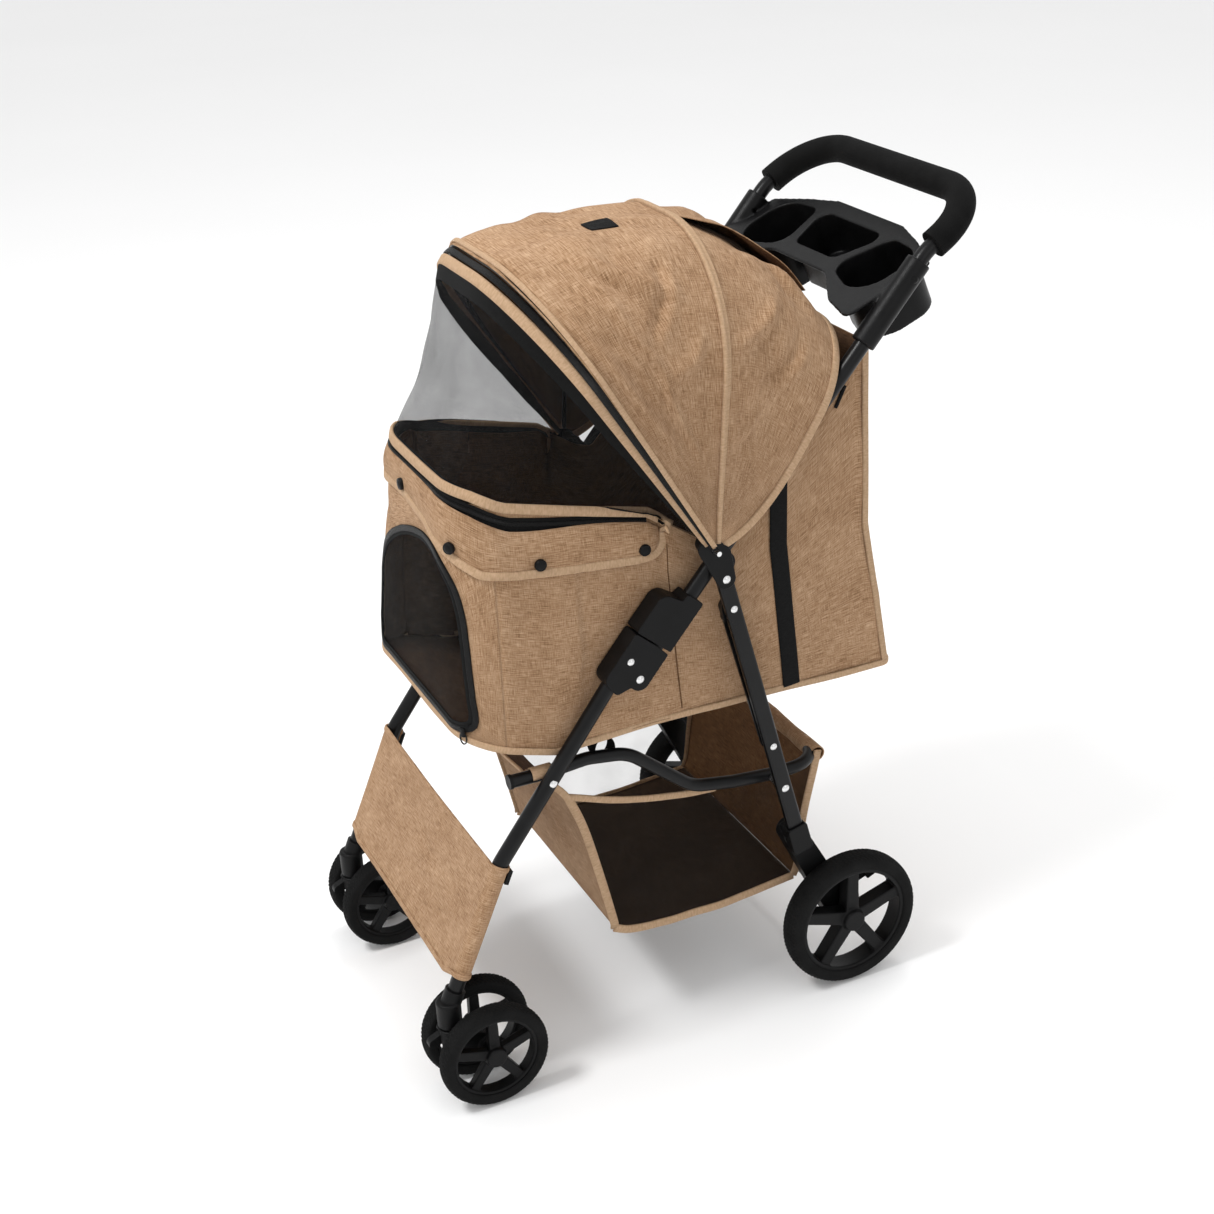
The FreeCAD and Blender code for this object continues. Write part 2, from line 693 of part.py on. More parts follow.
def bracket():
    """Plastic bracket on the handle tube: saddle, outer plate and canopy pivot."""
    plate = link(BRACKET_TOP, 11, HIP, 12, PLATE_IN, PLATE_OUT)
    plate = plate.fuse([link(BRACKET_MID, 15, HIP, 12, PLATE_IN, PLATE_OUT),
                        link(CANOPY, 13, BRACKET_TOP, 11, PLATE_IN, PLATE_OUT)])
    saddle = link(on_tube(164), 14, CANOPY, 11, LEG_X - 4, PLATE_IN)
    bore_line = Part.LineSegment(Vector(LEG_X, *on_tube(120)), Vector(LEG_X, *on_tube(220)))
    bore = rod(Part.Wire([bore_line.toShape()]), TUBE_R)
    hip_swing = pin(*HIP, LEG_X - 10, PLATE_IN, size("rear_leg_width") / 2 + 2.5)
    shape = plate.fuse(saddle).cut([bore, hip_swing])
    shape = shape.cut([pin(*HIP, 180, 220, PIN_R), pin(*CANOPY, 190, 220, PIN_R)])
    part = feature("bracket_l", shape.removeSplitter())
    mirror_of(part, "bracket_r")


def hip_pins():
    """Pins in the brackets: rear leg pivots and canopy pivots."""
    hip = domed_pin(*HIP, size("rear_leg_in") - 0.3, PLATE_OUT, PIN_R)
    canopy = pin(*CANOPY, 192, 217, PIN_R)
    feature("bracket_pins", both_sides([hip, canopy]))


LATCH_LOW, LATCH_HIGH, LOBE_HIGH = 44.5, 112, 98


def fold_latch():
    """Upper half of the lock, a sliding sleeve on the handle tube with a nose."""
    body = new_body("fold_latch_l")
    outline = [on_tube(LATCH_LOW, -13.5), on_tube(LATCH_HIGH, -13.5), on_tube(LATCH_HIGH, 11),
               on_tube(LOBE_HIGH + 4, 13), on_tube(LOBE_HIGH, NOSE), on_tube(LATCH_LOW, NOSE)]
    sketch = new_sketch(body, "fold_latch_outline", "YZ_Plane")
    sketch.AttachmentOffset = Placement(Vector(0, 0, LEG_X - LOCK_HALF), Rotation())
    draw(sketch, outline, [2, 3, 3, 4, 14, 3])
    add_pad(body, sketch, 2 * LOCK_HALF)
    doc.recompute()
    inner = new_sketch(body, "fold_latch_hollow", "YZ_Plane")
    inner.AttachmentOffset = Placement(Vector(0, 0, LEG_X), Rotation())
    draw(inner, [on_tube(LATCH_LOW - 1, 13.5), on_tube(LOBE_HIGH - 12, 14.5),
                 on_tube(LOBE_HIGH - 12, NOSE - 3), on_tube(LATCH_LOW - 1, NOSE - 3)])
    add_pocket(body, inner, 2 * (LOCK_HALF - 3))
    doc.recompute()
    path = new_sketch(body, "fold_latch_line", "YZ_Plane")
    path.AttachmentOffset = Placement(Vector(0, 0, LEG_X), Rotation())
    path.setExpression("AttachmentOffset.Base.z", "Sizes.leg_x")
    draw(path, [on_tube(LATCH_LOW - 20), on_tube(LATCH_HIGH + 20)], closed=False)
    doc.recompute()
    ring = body.newObject("Sketcher::SketchObject", "fold_latch_ring")
    ring.AttachmentSupport = [(path, "Edge1")]
    ring.MapMode = "NormalToEdge"
    ring.MapPathParameter = 0
    draw_circle(ring, 0, 0, TUBE_R + size("running_fit"), "Sizes.tube_dia / 2 + Sizes.running_fit")
    bore = body.newObject("PartDesign::SubtractivePipe", "fold_latch_bore")
    bore.Profile = ring
    bore.Spine = (path, ["Edge1"])
    body.Tip = bore
    keep(body, "fold_latch_l")
    mirror_of(body, "fold_latch_r")


# --------------------------------------------------------------- rear legs

DOWN_REAR = unit(HIP, RAIL)


def on_rear(down, ahead=0.0):
    """Side-view point: down the rear leg from the hip, and ahead of it."""
    return (HIP[0] + down * DOWN_REAR[0] + ahead * DOWN_REAR[1],
            HIP[1] + down * DOWN_REAR[1] - ahead * DOWN_REAR[0])


REAR_LEG_LONG = 418
STRUT_TOP, STRUT_LOW = 43, 247


def rear_leg():
    """Flat steel tube, round at the hip, drilled for its pins."""
    half, inner = size("rear_leg_width") / 2, size("rear_leg_in")
    body = new_body("rear_leg_l")
    sketch = new_sketch(body, "rear_leg_outline", "YZ_Plane")
    sketch.AttachmentOffset = Placement(Vector(0, 0, inner), Rotation())
    sketch.setExpression("AttachmentOffset.Base.z", "Sizes.rear_leg_in")
    draw(sketch, [on_rear(-half, half), on_rear(-half, -half), on_rear(REAR_LEG_LONG, -half),
                  on_rear(REAR_LEG_LONG, half)], [half - 0.01, half - 0.01, 2, 2])
    pad = add_pad(body, sketch, size("rear_leg_thick"), "Sizes.rear_leg_thick")
    doc.recompute()
    long_edges = [f"Edge{i + 1}" for i, e in enumerate(pad.Shape.Edges) if e.Length > 300]
    rounding = body.newObject("PartDesign::Fillet", "rear_leg_rounding")
    rounding.Base = (pad, long_edges)
    rounding.Radius = 3.5
    body.Tip = rounding
    doc.recompute()
    drill(body, "hip_hole", *HIP, PIN_R + size("running_fit"), "Sizes.pin_dia / 2 + Sizes.running_fit")
    drill(body, "rail_hole", *RAIL, PIN_R, "Sizes.pin_dia / 2")
    for name, down in (("strut_hole_top", STRUT_TOP), ("strut_hole_low", STRUT_LOW)):
        drill(body, name, *on_rear(down), RIVET_R, "Sizes.rivet_dia / 2")
    keep(body, "rear_leg_l")
    mirror_of(body, "rear_leg_r")


STRUT_X, STRUT_THICK = 183, 3


def leg_strut():
    """Flat bar behind each rear leg, spaced off it by a block at the top."""
    inner = size("rear_leg_in")
    top, low = on_rear(STRUT_TOP, 2), on_rear(STRUT_LOW)
    bar = link(top, 9, low, 8, STRUT_X, STRUT_X + STRUT_THICK)
    block = link(on_rear(STRUT_TOP - 4, 1), 9, on_rear(STRUT_TOP + 12, 4), 9, STRUT_X + STRUT_THICK, inner)
    foot = pin(*low, STRUT_X + STRUT_THICK, inner, 7)
    holes = [pin(*on_rear(down), 170, 220, RIVET_R) for down in (STRUT_TOP, STRUT_LOW)]
    shape = bar.fuse([block, foot]).cut(holes)
    feature("leg_struts", both_sides([shape.removeSplitter()]))


def rear_leg_rivets():
    """Strut rivets, and the pins that carry the basket tube."""
    outer = size("rear_leg_in") + size("rear_leg_thick")
    solids = [domed_pin(*on_rear(down), STRUT_X, outer, RIVET_R) for down in (STRUT_TOP, STRUT_LOW)]
    stub_end = size("basket_x") + size("basket_dia") / 2 + 1
    stub = pin(*RAIL, stub_end, size("rear_leg_in"), 6).fuse(domed_pin(*RAIL, stub_end + 3, outer, PIN_R))
    feature("rear_leg_rivets", both_sides(solids + [stub]))


HOUSING_IN, HOUSING_OUT = 158, 189
BRAKE_HINGE = (200, 122)


def axle_housing():
    """Plastic corner that joins the rear leg to the axle, inside the wheel."""
    axle = (size("rear_axle_y"), size("rear_radius"))
    inner, outer = size("rear_leg_in"), size("rear_leg_in") + size("rear_leg_thick")
    arm = link(axle, 19, on_rear(REAR_LEG_LONG - 22), 15, HOUSING_IN + 9, HOUSING_OUT)
    boss = pin(*axle, HOUSING_IN, HOUSING_OUT, 19)
    cap = slab([on_rear(REAR_LEG_LONG - 44, 13.5), on_rear(REAR_LEG_LONG - 44, -13.5),
                on_rear(REAR_LEG_LONG - 4, -13.5), on_rear(REAR_LEG_LONG - 4, 13.5)],
               HOUSING_OUT - 8, outer + 3, [4, 4, 4, 4])
    wheel_room = pin(*axle, HOUSING_OUT + 0.01, 240, size("rear_radius") + 2)
    leg_room = slab([on_rear(300, 10), on_rear(300, -10), on_rear(REAR_LEG_LONG, -10),
                     on_rear(REAR_LEG_LONG, 10)], inner, outer)
    bore = pin(*axle, 140, 230, size("axle_dia") / 2)
    ears = []
    for x in (HOUSING_IN + 4, HOUSING_OUT - 6.5):
        ears.append(link((axle[0] + 2, 106), 7, BRAKE_HINGE, 6, x, x + 4.5))
    ears.append(pin(*BRAKE_HINGE, HOUSING_IN + 4, HOUSING_OUT - 2, 2))
    shape = arm.fuse([boss, cap] + ears).cut([wheel_room, leg_room, bore])
    part = feature("axle_housing_l", shape.removeSplitter())
    mirror_of(part, "axle_housing_r")


def rear_axle():
    """Steel axle through both housings and both rear wheels."""
    bar = doc.addObject("Part::Cylinder", "rear_axle")
    reach = size("rear_wheel_x") + size("rear_width") / 2 - 5
    bar.setExpression("Radius", "Sizes.axle_dia / 2")
    bar.setExpression("Height", "2 * (Sizes.rear_wheel_x + Sizes.rear_width / 2 - 5)")
    bar.Placement = Placement(Vector(-reach, size("rear_axle_y"), size("rear_radius")),
                              Rotation(Vector(0, 1, 0), 90))
    keep(bar, "rear_axle")


def brake_pedal():
    """Foot lever on the pin between each housing's two ears."""
    lever = link(BRAKE_HINGE, 6, (236, 134), 4, HOUSING_IN + 9, HOUSING_OUT - 7)
    pad = slab([(222, 131), (246, 141), (250, 135), (226, 124)], HOUSING_IN - 6, HOUSING_OUT - 2, 2)
    bore = pin(*BRAKE_HINGE, HOUSING_IN, HOUSING_OUT, 2 + size("running_fit"))
    part = feature("brake_pedal_l", lever.fuse(pad).cut(bore).removeSplitter())
    mirror_of(part, "brake_pedal_r")


# ------------------------------------------------------------------ basket

def basket_points():
    """Side-view run of the basket tube, from its front end to the rear corner."""
    return [(-246, 401), BASKET_PIVOT, (-150, 404), (-98, 396), (-12, 324), (43, 314), RAIL, (171, 309)]


def basket_tube():
    """U-shaped tube: two cranked sides and a cross bar behind."""
    x = size("basket_x")
    left = [(x, y, z) for y, z in basket_points()]
    right = [(-x, y, z) for _, y, z in reversed(left)]
    path = wire(left + right, [0, 60, 60, 60, 60, 60, 60, 45, 45, 60, 60, 60, 60, 60, 60, 0])
    shape = pipe(path, size("basket_dia") / 2, size("basket_wall"))
    hole = pin(*BASKET_PIVOT, x - 12, x + 12, PIN_R + size("running_fit"))
    feature("basket_tube", shape.cut([hole, mirrored(hole)]))


def basket_caps():
    """Plastic plugs in the front ends of the basket tube."""
    x, (y, z) = size("basket_x"), basket_points()[0]
    cap = Part.makeCylinder(size("basket_dia") / 2 + 1, 4, Vector(x, y, z), Vector(0, -1, 0))
    feature("basket_caps", both_sides([cap]))


BAG_TOP_HALF, BAG_LOW_HALF = 152, 138


def bag_prism(inset):
    """Side outline of the basket bag, tapered across, drawn in by an inset."""
    profile = [(-116 + inset, 130 + inset), (136 - inset, 150 + inset), (168 - inset, 298),
               (60, 302), (-20, 318), (-90, 352), (-160, 392), (-196 + inset, 390)]
    if inset:
        profile[2:] = [(172 - inset, 430), (-206 + inset, 430), (-196 + inset, 390)]
    side = slab(profile, -200, 200)
    across = [(-BAG_LOW_HALF + inset, 100), (BAG_LOW_HALF - inset, 100),
              (BAG_TOP_HALF - inset, 440), (-BAG_TOP_HALF + inset, 440)]
    face = Part.Face(wire([(u, -400, v) for u, v in across], 0, closed=True))
    return side.common(face.extrude(Vector(0, 800, 0)))


def basket_bag():
    """Cloth basket slung inside the tube, open at the top."""
    feature("basket_bag", bag_prism(0).cut(bag_prism(size("cloth"))))


# ------------------------------------------------------------------- cabin

CABIN_LOW, CABIN_FRONT, CABIN_REAR = 424, -296, 258


def cabin_prism(inset):
    """Cabin outline: rounded in plan, and cut to its side view."""
    half = size("cabin_half") - inset
    front, rear = CABIN_FRONT + inset, CABIN_REAR - inset
    plan = flat_prism([(-half, front), (half, front), (half, rear), (-half, rear)],
                      380, 900, [58 - inset, 58 - inset, 14 - inset, 14 - inset])
    low = CABIN_LOW + inset
    lift = 40 if inset else 0
    profile = [(front, 459 + inset), (-190, low), (rear, low), (224 - inset, 620), (220 - inset, 843 + lift),
               (206, 843 + lift), (22 - lift / 3, 648 + lift), (-45, 668 + lift), (-150, 701 + lift),
               (-262, 741 + lift), (front, 750 + lift)]
    return plan.common(slab(profile, -300, 300))


DOOR_LOW, DOOR_HIGH = 474, 694
DOOR_HALF, DOOR_BACK = 150, -250
REAR_DOOR_LOW, REAR_DOOR_HIGH, REAR_DOOR_HALF = 450, 800, 138


def cabin_shell():
    """Cloth cabin, open at the top, with openings for the two doors."""
    shell = cabin_prism(0).cut(cabin_prism(size("cloth")))
    front_hole = slab([(-300, DOOR_LOW), (-300, DOOR_HIGH), (DOOR_BACK, DOOR_HIGH),
                       (DOOR_BACK, DOOR_LOW)], -DOOR_HALF, DOOR_HALF)
    rear_hole = slab([(300, REAR_DOOR_LOW), (300, REAR_DOOR_HIGH), (190, REAR_DOOR_HIGH),
                      (190, REAR_DOOR_LOW)], -REAR_DOOR_HALF, REAR_DOOR_HALF)
    feature("cabin_shell", shell.cut([front_hole, rear_hole]))


def doors():
    """Front mesh door and rear cloth door, each hinged along its lower edge."""
    gap = 1
    skin = cabin_prism(0).cut(cabin_prism(size("cloth")))
    pane = slab([(-300, DOOR_LOW + gap), (-300, DOOR_HIGH - gap), (DOOR_BACK, DOOR_HIGH - gap),
                 (DOOR_BACK, DOOR_LOW + gap)], -DOOR_HALF + gap, DOOR_HALF - gap)
    feature("front_door", skin.common(pane))
    window = slab([(300, REAR_DOOR_LOW + gap), (300, REAR_DOOR_HIGH - gap), (190, REAR_DOOR_HIGH - gap),
                   (190, REAR_DOOR_LOW + gap)], -REAR_DOOR_HALF + gap, REAR_DOOR_HALF - gap)
    feature("rear_door", skin.common(window))


def cabin_floor():
    """Stiff base board and the pet mat on it."""
    half = size("cabin_half") - size("cloth") - 3
    plan = [(-half, -186), (half, -186), (half, 246), (-half, 246)]
    board_low = CABIN_LOW + size("cloth") + 0.5
    body = new_body("base_board")
    sketch = new_sketch(body, "base_board_outline", "XY_Plane")
    sketch.AttachmentOffset = Placement(Vector(0, 0, board_low), Rotation())
    draw(sketch, plan, 12)
    add_pad(body, sketch, 4)
    keep(body, "base_board")
    inner = [(x * 0.97, y * 0.97) for x, y in plan]
    mat = flat_prism(inner, board_low + 4.3, board_low + 20, 14)
    feature("pet_mat", mat)


# ------------------------------------------------------------------ canopy

def bow_outline(half, high, radius, start):
    """Upright U of a bow in its own plane, as (across, along) points and radii."""
    points = [(half, start), (half, high), (-half, high), (-half, start)]
    return points, [0, radius, radius, 0]


def bow_vector(angle, across, along):
    """Point of a bow's plane, which turns about the canopy pivots."""
    lean = math.radians(angle)
    return (across, CANOPY[0] + along * math.cos(lean), CANOPY[1] + along * math.sin(lean))


FRONT_BOW = (120.9, 386, 213.6, 135)
MID_BOW = (85.9, 343, 208.3, 150)
REAR_BOW = (50.5, 286, 200, 95)
RIM_BOW = (161.5, 302, 161.5, 56)


def bow(label, spec, start):
    """Steel bow with an eye at each canopy pivot."""
    angle, high, half, radius = spec
    points, radii = bow_outline(half, high, radius, start)
    path = wire([bow_vector(angle, u, v) for u, v in points], radii)
    shape = rod(path, size("bow_dia") / 2)
    if start < 20:
        thick = size("bow_dia") / 2 - 0.5
        eye = pin(*CANOPY, half - thick, half + thick, 8)
        hole = pin(*CANOPY, half - 10, half + 10, PIN_R + size("running_fit"))
        stub_cut = pin(*CANOPY, half - 10, half + 10, 5)
        shape = shape.cut([stub_cut, mirrored(stub_cut)]).fuse([eye, mirrored(eye)])
        shape = shape.cut([hole, mirrored(hole)])
    return feature(label, shape)


def skin_between(spec_a, spec_b, start, lift, thick):
    """Cloth ruled from one bow to the next, outside both by a lift."""
    rings = []
    for angle, high, half, radius in (spec_a, spec_b):
        far = lift + thick
        outer, outer_radii = bow_outline(half + far, high + far, radius + far, start)
        inner, inner_radii = bow_outline(half + lift, high + lift, radius + lift, start)
        points = outer + list(reversed(inner))
        radii = outer_radii + list(reversed(inner_radii))
        rings.append(wire([bow_vector(angle, u, v) for u, v in points], radii, closed=True))
    return Part.makeLoft(rings, True, True)


def canopy():
    rod_r = size("bow_dia") / 2
    bow("canopy_mid_bow", MID_BOW, 0)
    bow("canopy_front_bow", FRONT_BOW, 0)
    bow("rim_hoop", RIM_BOW, 45)
    feature("canopy_rear_cloth", skin_between(MID_BOW, REAR_BOW, 34, rod_r + CLEAR + 1.2, 1.6))
    ahead = (MID_BOW[0] + 0.6, *MID_BOW[1:])
    feature("canopy_front_cloth", skin_between(FRONT_BOW, ahead, 34, rod_r + CLEAR, 1.6))
    low = (RIM_BOW[0] - 2.6, 306, 166, 60)
    top = (FRONT_BOW[0] + 0.9, *FRONT_BOW[1:])
    feature("canopy_window", skin_between(top, low, 60, rod_r + CLEAR, 1.2))


# ---------------------------------------------------------------- assembly

def build():
    front_leg()
    lock_housing()
    lock_pins()
    front_rivets()
    leg_panel()
    panel_clips()
    caster_socket()
    caster_fork()
    swivel_lever()
    front_axle()
    wheels()
    handle_tube()
    handle_grip()
    cup_tray()
    tray_screws()
    bracket()
    hip_pins()
    fold_latch()
    rear_leg()
    leg_strut()
    rear_leg_rivets()
    axle_housing()
    rear_axle()
    brake_pedal()
    basket_tube()
    basket_caps()
    basket_bag()
    cabin_shell()
    doors()
    cabin_floor()
    canopy()


build()
doc.recompute()

for obj in doc.Objects:
    if "Invalid" in obj.State or "Error" in obj.State:
        raise RuntimeError(f"{obj.Label} failed: {obj.State}")
for obj in NODES:
    if obj.Shape.isNull() or not obj.Shape.isValid():
        raise RuntimeError(f"{obj.Label} has no valid shape")

os.makedirs("parts", exist_ok=True)
for obj in NODES:
    obj.Shape.exportStep(f"parts/{obj.Label}.step")
print(len(NODES), "parts written")
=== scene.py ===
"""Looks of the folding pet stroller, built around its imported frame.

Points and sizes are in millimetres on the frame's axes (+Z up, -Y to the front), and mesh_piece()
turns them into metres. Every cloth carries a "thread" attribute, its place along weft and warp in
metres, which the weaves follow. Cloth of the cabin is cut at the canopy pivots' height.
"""

import bisect
import json
import math

import bmesh
import bpy
from mathutils import Matrix, Vector, noise


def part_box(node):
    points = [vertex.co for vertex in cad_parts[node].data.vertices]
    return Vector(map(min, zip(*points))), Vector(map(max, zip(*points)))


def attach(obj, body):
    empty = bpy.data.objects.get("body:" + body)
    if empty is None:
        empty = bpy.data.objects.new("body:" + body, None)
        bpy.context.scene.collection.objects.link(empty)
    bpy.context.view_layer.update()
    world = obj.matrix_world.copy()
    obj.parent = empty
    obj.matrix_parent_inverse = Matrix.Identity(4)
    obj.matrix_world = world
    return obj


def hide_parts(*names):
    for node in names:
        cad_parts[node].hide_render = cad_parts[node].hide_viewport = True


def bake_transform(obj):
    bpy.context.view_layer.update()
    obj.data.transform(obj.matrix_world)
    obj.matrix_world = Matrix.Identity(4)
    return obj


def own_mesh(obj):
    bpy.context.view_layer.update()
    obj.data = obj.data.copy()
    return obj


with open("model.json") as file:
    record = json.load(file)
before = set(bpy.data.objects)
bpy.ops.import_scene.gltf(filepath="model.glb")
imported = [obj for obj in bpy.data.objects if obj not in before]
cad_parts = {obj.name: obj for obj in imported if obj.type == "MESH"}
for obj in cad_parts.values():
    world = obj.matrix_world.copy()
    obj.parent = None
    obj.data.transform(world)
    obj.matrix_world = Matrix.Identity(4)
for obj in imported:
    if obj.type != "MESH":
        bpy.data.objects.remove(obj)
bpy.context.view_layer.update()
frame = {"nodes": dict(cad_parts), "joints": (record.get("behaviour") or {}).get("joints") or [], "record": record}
MM = 0.001


def box_mm(node):
    """Corners of a CAD node at rest, in millimetres."""
    low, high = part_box(node)
    return low / MM, high / MM


def joint_mm(name):
    """Place of a hinge in its side view, as (y, z)."""
    place = next(j["pos_m"] for j in frame["joints"] if j["name"] == name)
    return place[1] / MM, place[2] / MM


# ---------------------------------------------------------------- materials

class Shader:
    """A Principled material and the nodes that feed it."""

    def __init__(self, name, **fixed):
        self.material = bpy.data.materials.new(name)
        self.material.use_nodes = True
        self.tree = self.material.node_tree
        self.out = self.tree.nodes["Principled BSDF"]
        for socket, value in fixed.items():
            self.out.inputs[socket.replace("_", " ")].default_value = value

    def node(self, kind, inputs=None, **settings):
        made = self.tree.nodes.new("ShaderNode" + kind)
        for key, value in settings.items():
            setattr(made, key, value)
        for key, value in (inputs or {}).items():
            if isinstance(value, bpy.types.NodeSocket):
                self.tree.links.new(value, made.inputs[key])
            else:
                made.inputs[key].default_value = value
        return made

    def scaled(self, source, scale):
        """Texture place: the thread attribute or the object's own axes, scaled per axis."""
        if source == "thread":
            place = self.node("Attribute", attribute_name="thread").outputs["Vector"]
        else:
            place = self.node("TexCoord").outputs["Object"]
        return self.node("Mapping", {"Vector": place, "Scale": scale}).outputs["Vector"]

    def noise(self, source, scale, detail=2.0, rough=0.5):
        vector = self.scaled(source, scale)
        made = self.node("TexNoise", {"Vector": vector, "Scale": 1.0, "Detail": detail, "Roughness": rough})
        return made.outputs["Fac"]

    def wave(self, source, scale, axis):
        vector = self.scaled(source, scale)
        made = self.node("TexWave", {"Vector": vector, "Scale": 1.0}, wave_profile="SIN", bands_direction=axis)
        return made.outputs["Fac"]

    def sum(self, first, second, operation="ADD", clamp=False):
        made = self.node("Math", {0: first, 1: second}, operation=operation, use_clamp=clamp)
        return made.outputs[0]

    def ramp(self, value, stops, socket="Base Color"):
        made = self.node("ValToRGB", {"Fac": value})
        elements = made.color_ramp.elements
        while len(elements) < len(stops):
            elements.new(0.5)
        for element, (place, shade) in zip(elements, stops):
            element.position = place
            element.color = (*shade, 1) if isinstance(shade, tuple) else (shade, shade, shade, 1)
        self.tree.links.new(made.outputs["Color"], self.out.inputs[socket])
        return self

    def bump(self, height, depth, below=None):
        inputs = {"Height": height, "Distance": depth, "Strength": 1.0}
        if below is not None:
            inputs["Normal"] = below
        made = self.node("Bump", inputs)
        self.tree.links.new(made.outputs["Normal"], self.out.inputs["Normal"])
        return made.outputs["Normal"]


def melange_cloth(name, dark, middle, light, roughness=0.9):
    """Heathered linen: short light and dark threads both ways, slubs, and a plain weave."""
    shader = Shader(name, Roughness=roughness, Sheen_Weight=0.04, Sheen_Roughness=0.5, Specular_IOR_Level=0.12)
    weft = shader.noise("thread", (60, 1150, 1), 3.0, 0.6)
    warp = shader.noise("thread", (1250, 80, 1), 3.0, 0.6)
    wear = shader.noise("thread", (14, 20, 1), 4.0, 0.6)
    threads = shader.sum(shader.sum(weft, 0.6, "MULTIPLY"), shader.sum(warp, 0.4, "MULTIPLY"))
    tone = shader.sum(threads, shader.sum(shader.sum(wear, 0.5, "SUBTRACT"), 0.2, "MULTIPLY"))
    shader.ramp(tone, ((0.36, dark), (0.5, middle), (0.64, light)))
    weave = shader.sum(shader.wave("thread", (520, 1, 1), "X"), shader.wave("thread", (1, 520, 1), "Y"))
    height = shader.sum(shader.sum(weave, 0.25, "MULTIPLY"), threads)
    shader.bump(height, 0.0006)
    return shader.material


def ribbed_tape(name, dark, light, ribs=420, depth=0.0005, roughness=0.85):
    """Woven tape or webbing, ribbed across its length."""
    shader = Shader(name, Roughness=roughness, Sheen_Weight=0.02, Specular_IOR_Level=0.15)
    rib = shader.wave("thread", (ribs, 1, 1), "X")
    fleck = shader.noise("thread", (500, 160, 1), 2.0)
    shader.ramp(shader.sum(shader.sum(rib, 0.25, "MULTIPLY"), fleck), ((0.4, dark), (0.85, light)))
    shader.bump(shader.sum(rib, fleck), depth)
    return shader.material


def net_cloth(name, shade, cover, pitch=430):
    """Fine knitted net: threads that hide a share of what is behind, in a small honeycomb of holes."""
    shader = Shader(name, Roughness=0.75, Specular_IOR_Level=0.12)
    across = shader.wave("thread", (pitch, 0, 1), "X")
    along = shader.wave("thread", (0, pitch, 1), "Y")
    holes = shader.sum(across, along, "MULTIPLY")
    cloud = shader.noise("thread", (22, 22, 1), 3.0)
    cover_low, cover_high = cover - 0.12, cover + 0.16
    shader.ramp(shader.sum(shader.sum(holes, 0.6, "MULTIPLY"), shader.sum(cloud, 0.5, "MULTIPLY")),
                ((0.15, cover_low), (0.7, cover_high)), "Alpha")
    shader.ramp(cloud, ((0.3, tuple(c * 0.7 for c in shade)), (0.7, shade)))
    shader.bump(holes, 0.0003)
    return shader.material


def powder_coat(name):
    """Satin black powder coat on steel tube, with a fine orange peel."""
    shader = Shader(name, Metallic=0.0, Coat_Weight=0.05, Coat_Roughness=0.2, Specular_IOR_Level=0.18)
    peel = shader.noise("object", (900, 900, 900), 2.0)
    rub = shader.noise("object", (24, 24, 24), 4.0, 0.6)
    shader.ramp(rub, ((0.3, (0.002, 0.002, 0.0022)), (0.75, (0.005, 0.005, 0.0055))))
    shader.ramp(rub, ((0.3, 0.26), (0.75, 0.4)), "Roughness")
    shader.bump(peel, 0.00012)
    return shader.material


def moulded_plastic(name, low=0.0022, high=0.005, rough=0.42):
    """Black moulded plastic with a spark-eroded grain and lightly handled patches."""
    shader = Shader(name, Specular_IOR_Level=0.14)
    grain = shader.noise("object", (1500, 1500, 1500), 2.0)
    rub = shader.noise("object", (30, 30, 30), 4.0, 0.6)
    shader.ramp(rub, ((0.3, (low, low, low * 1.05)), (0.7, (high, high, high * 1.05))))
    shader.ramp(rub, ((0.3, rough - 0.06), (0.7, rough + 0.1)), "Roughness")
    shader.bump(grain, 0.00016)
    return shader.material


def cell_foam(name, shade, roughness):
    """Closed-cell black foam: a skin of tiny dimples."""
    shader = Shader(name, Roughness=roughness, Specular_IOR_Level=0.1)
    cells = shader.noise("object", (750, 750, 750), 3.0, 0.7)
    cloud = shader.noise("object", (40, 40, 40), 3.0)
    shader.ramp(cloud, ((0.3, (shade * 0.7,) * 3), (0.7, (shade * 1.3,) * 3)))
    shader.bump(cells, 0.0005)
    return shader.material


def bright_zinc(name, low, high, rough):
    """Zinc-plated steel, with fine scratches round its turned face."""
    shader = Shader(name, Metallic=1.0)
    scratch = shader.noise("object", (400, 2600, 2600), 2.0)
    shader.ramp(scratch, ((0.3, (low, low, low)), (0.7, (high, high, high))))
    shader.ramp(scratch, ((0.3, rough - 0.08), (0.7, rough + 0.08)), "Roughness")
    shader.bump(scratch, 0.00005)
    return shader.material


TAN = melange_cloth("tan_linen", (0.20, 0.105, 0.05), (0.39, 0.235, 0.13), (0.57, 0.39, 0.25))
LINING = melange_cloth("brown_lining", (0.05, 0.025, 0.012), (0.13, 0.065, 0.030), (0.22, 0.12, 0.06))
DARK_CLOTH = melange_cloth("dark_cloth", (0.022, 0.012, 0.007), (0.055, 0.032, 0.018), (0.10, 0.062, 0.038))
BINDING = ribbed_tape("tan_binding", (0.52, 0.33, 0.19), (0.68, 0.47, 0.30))
WEBBING = ribbed_tape("black_webbing", (0.001, 0.001, 0.001), (0.006, 0.006, 0.0062), 300, 0.0009)
ZIP = ribbed_tape("zip_teeth", (0.001, 0.001, 0.001), (0.012, 0.012, 0.0125), 620, 0.0012, 0.4)
NET = net_cloth("window_net", (0.010, 0.010, 0.0105), 0.46)
DOOR_NET = net_cloth("door_net", (0.008, 0.007, 0.0065), 0.50)
BASKET_NET = net_cloth("basket_net", (0.008, 0.007, 0.0065), 0.34)
COAT = powder_coat("black_powder_coat")
PLASTIC = moulded_plastic("moulded_black")
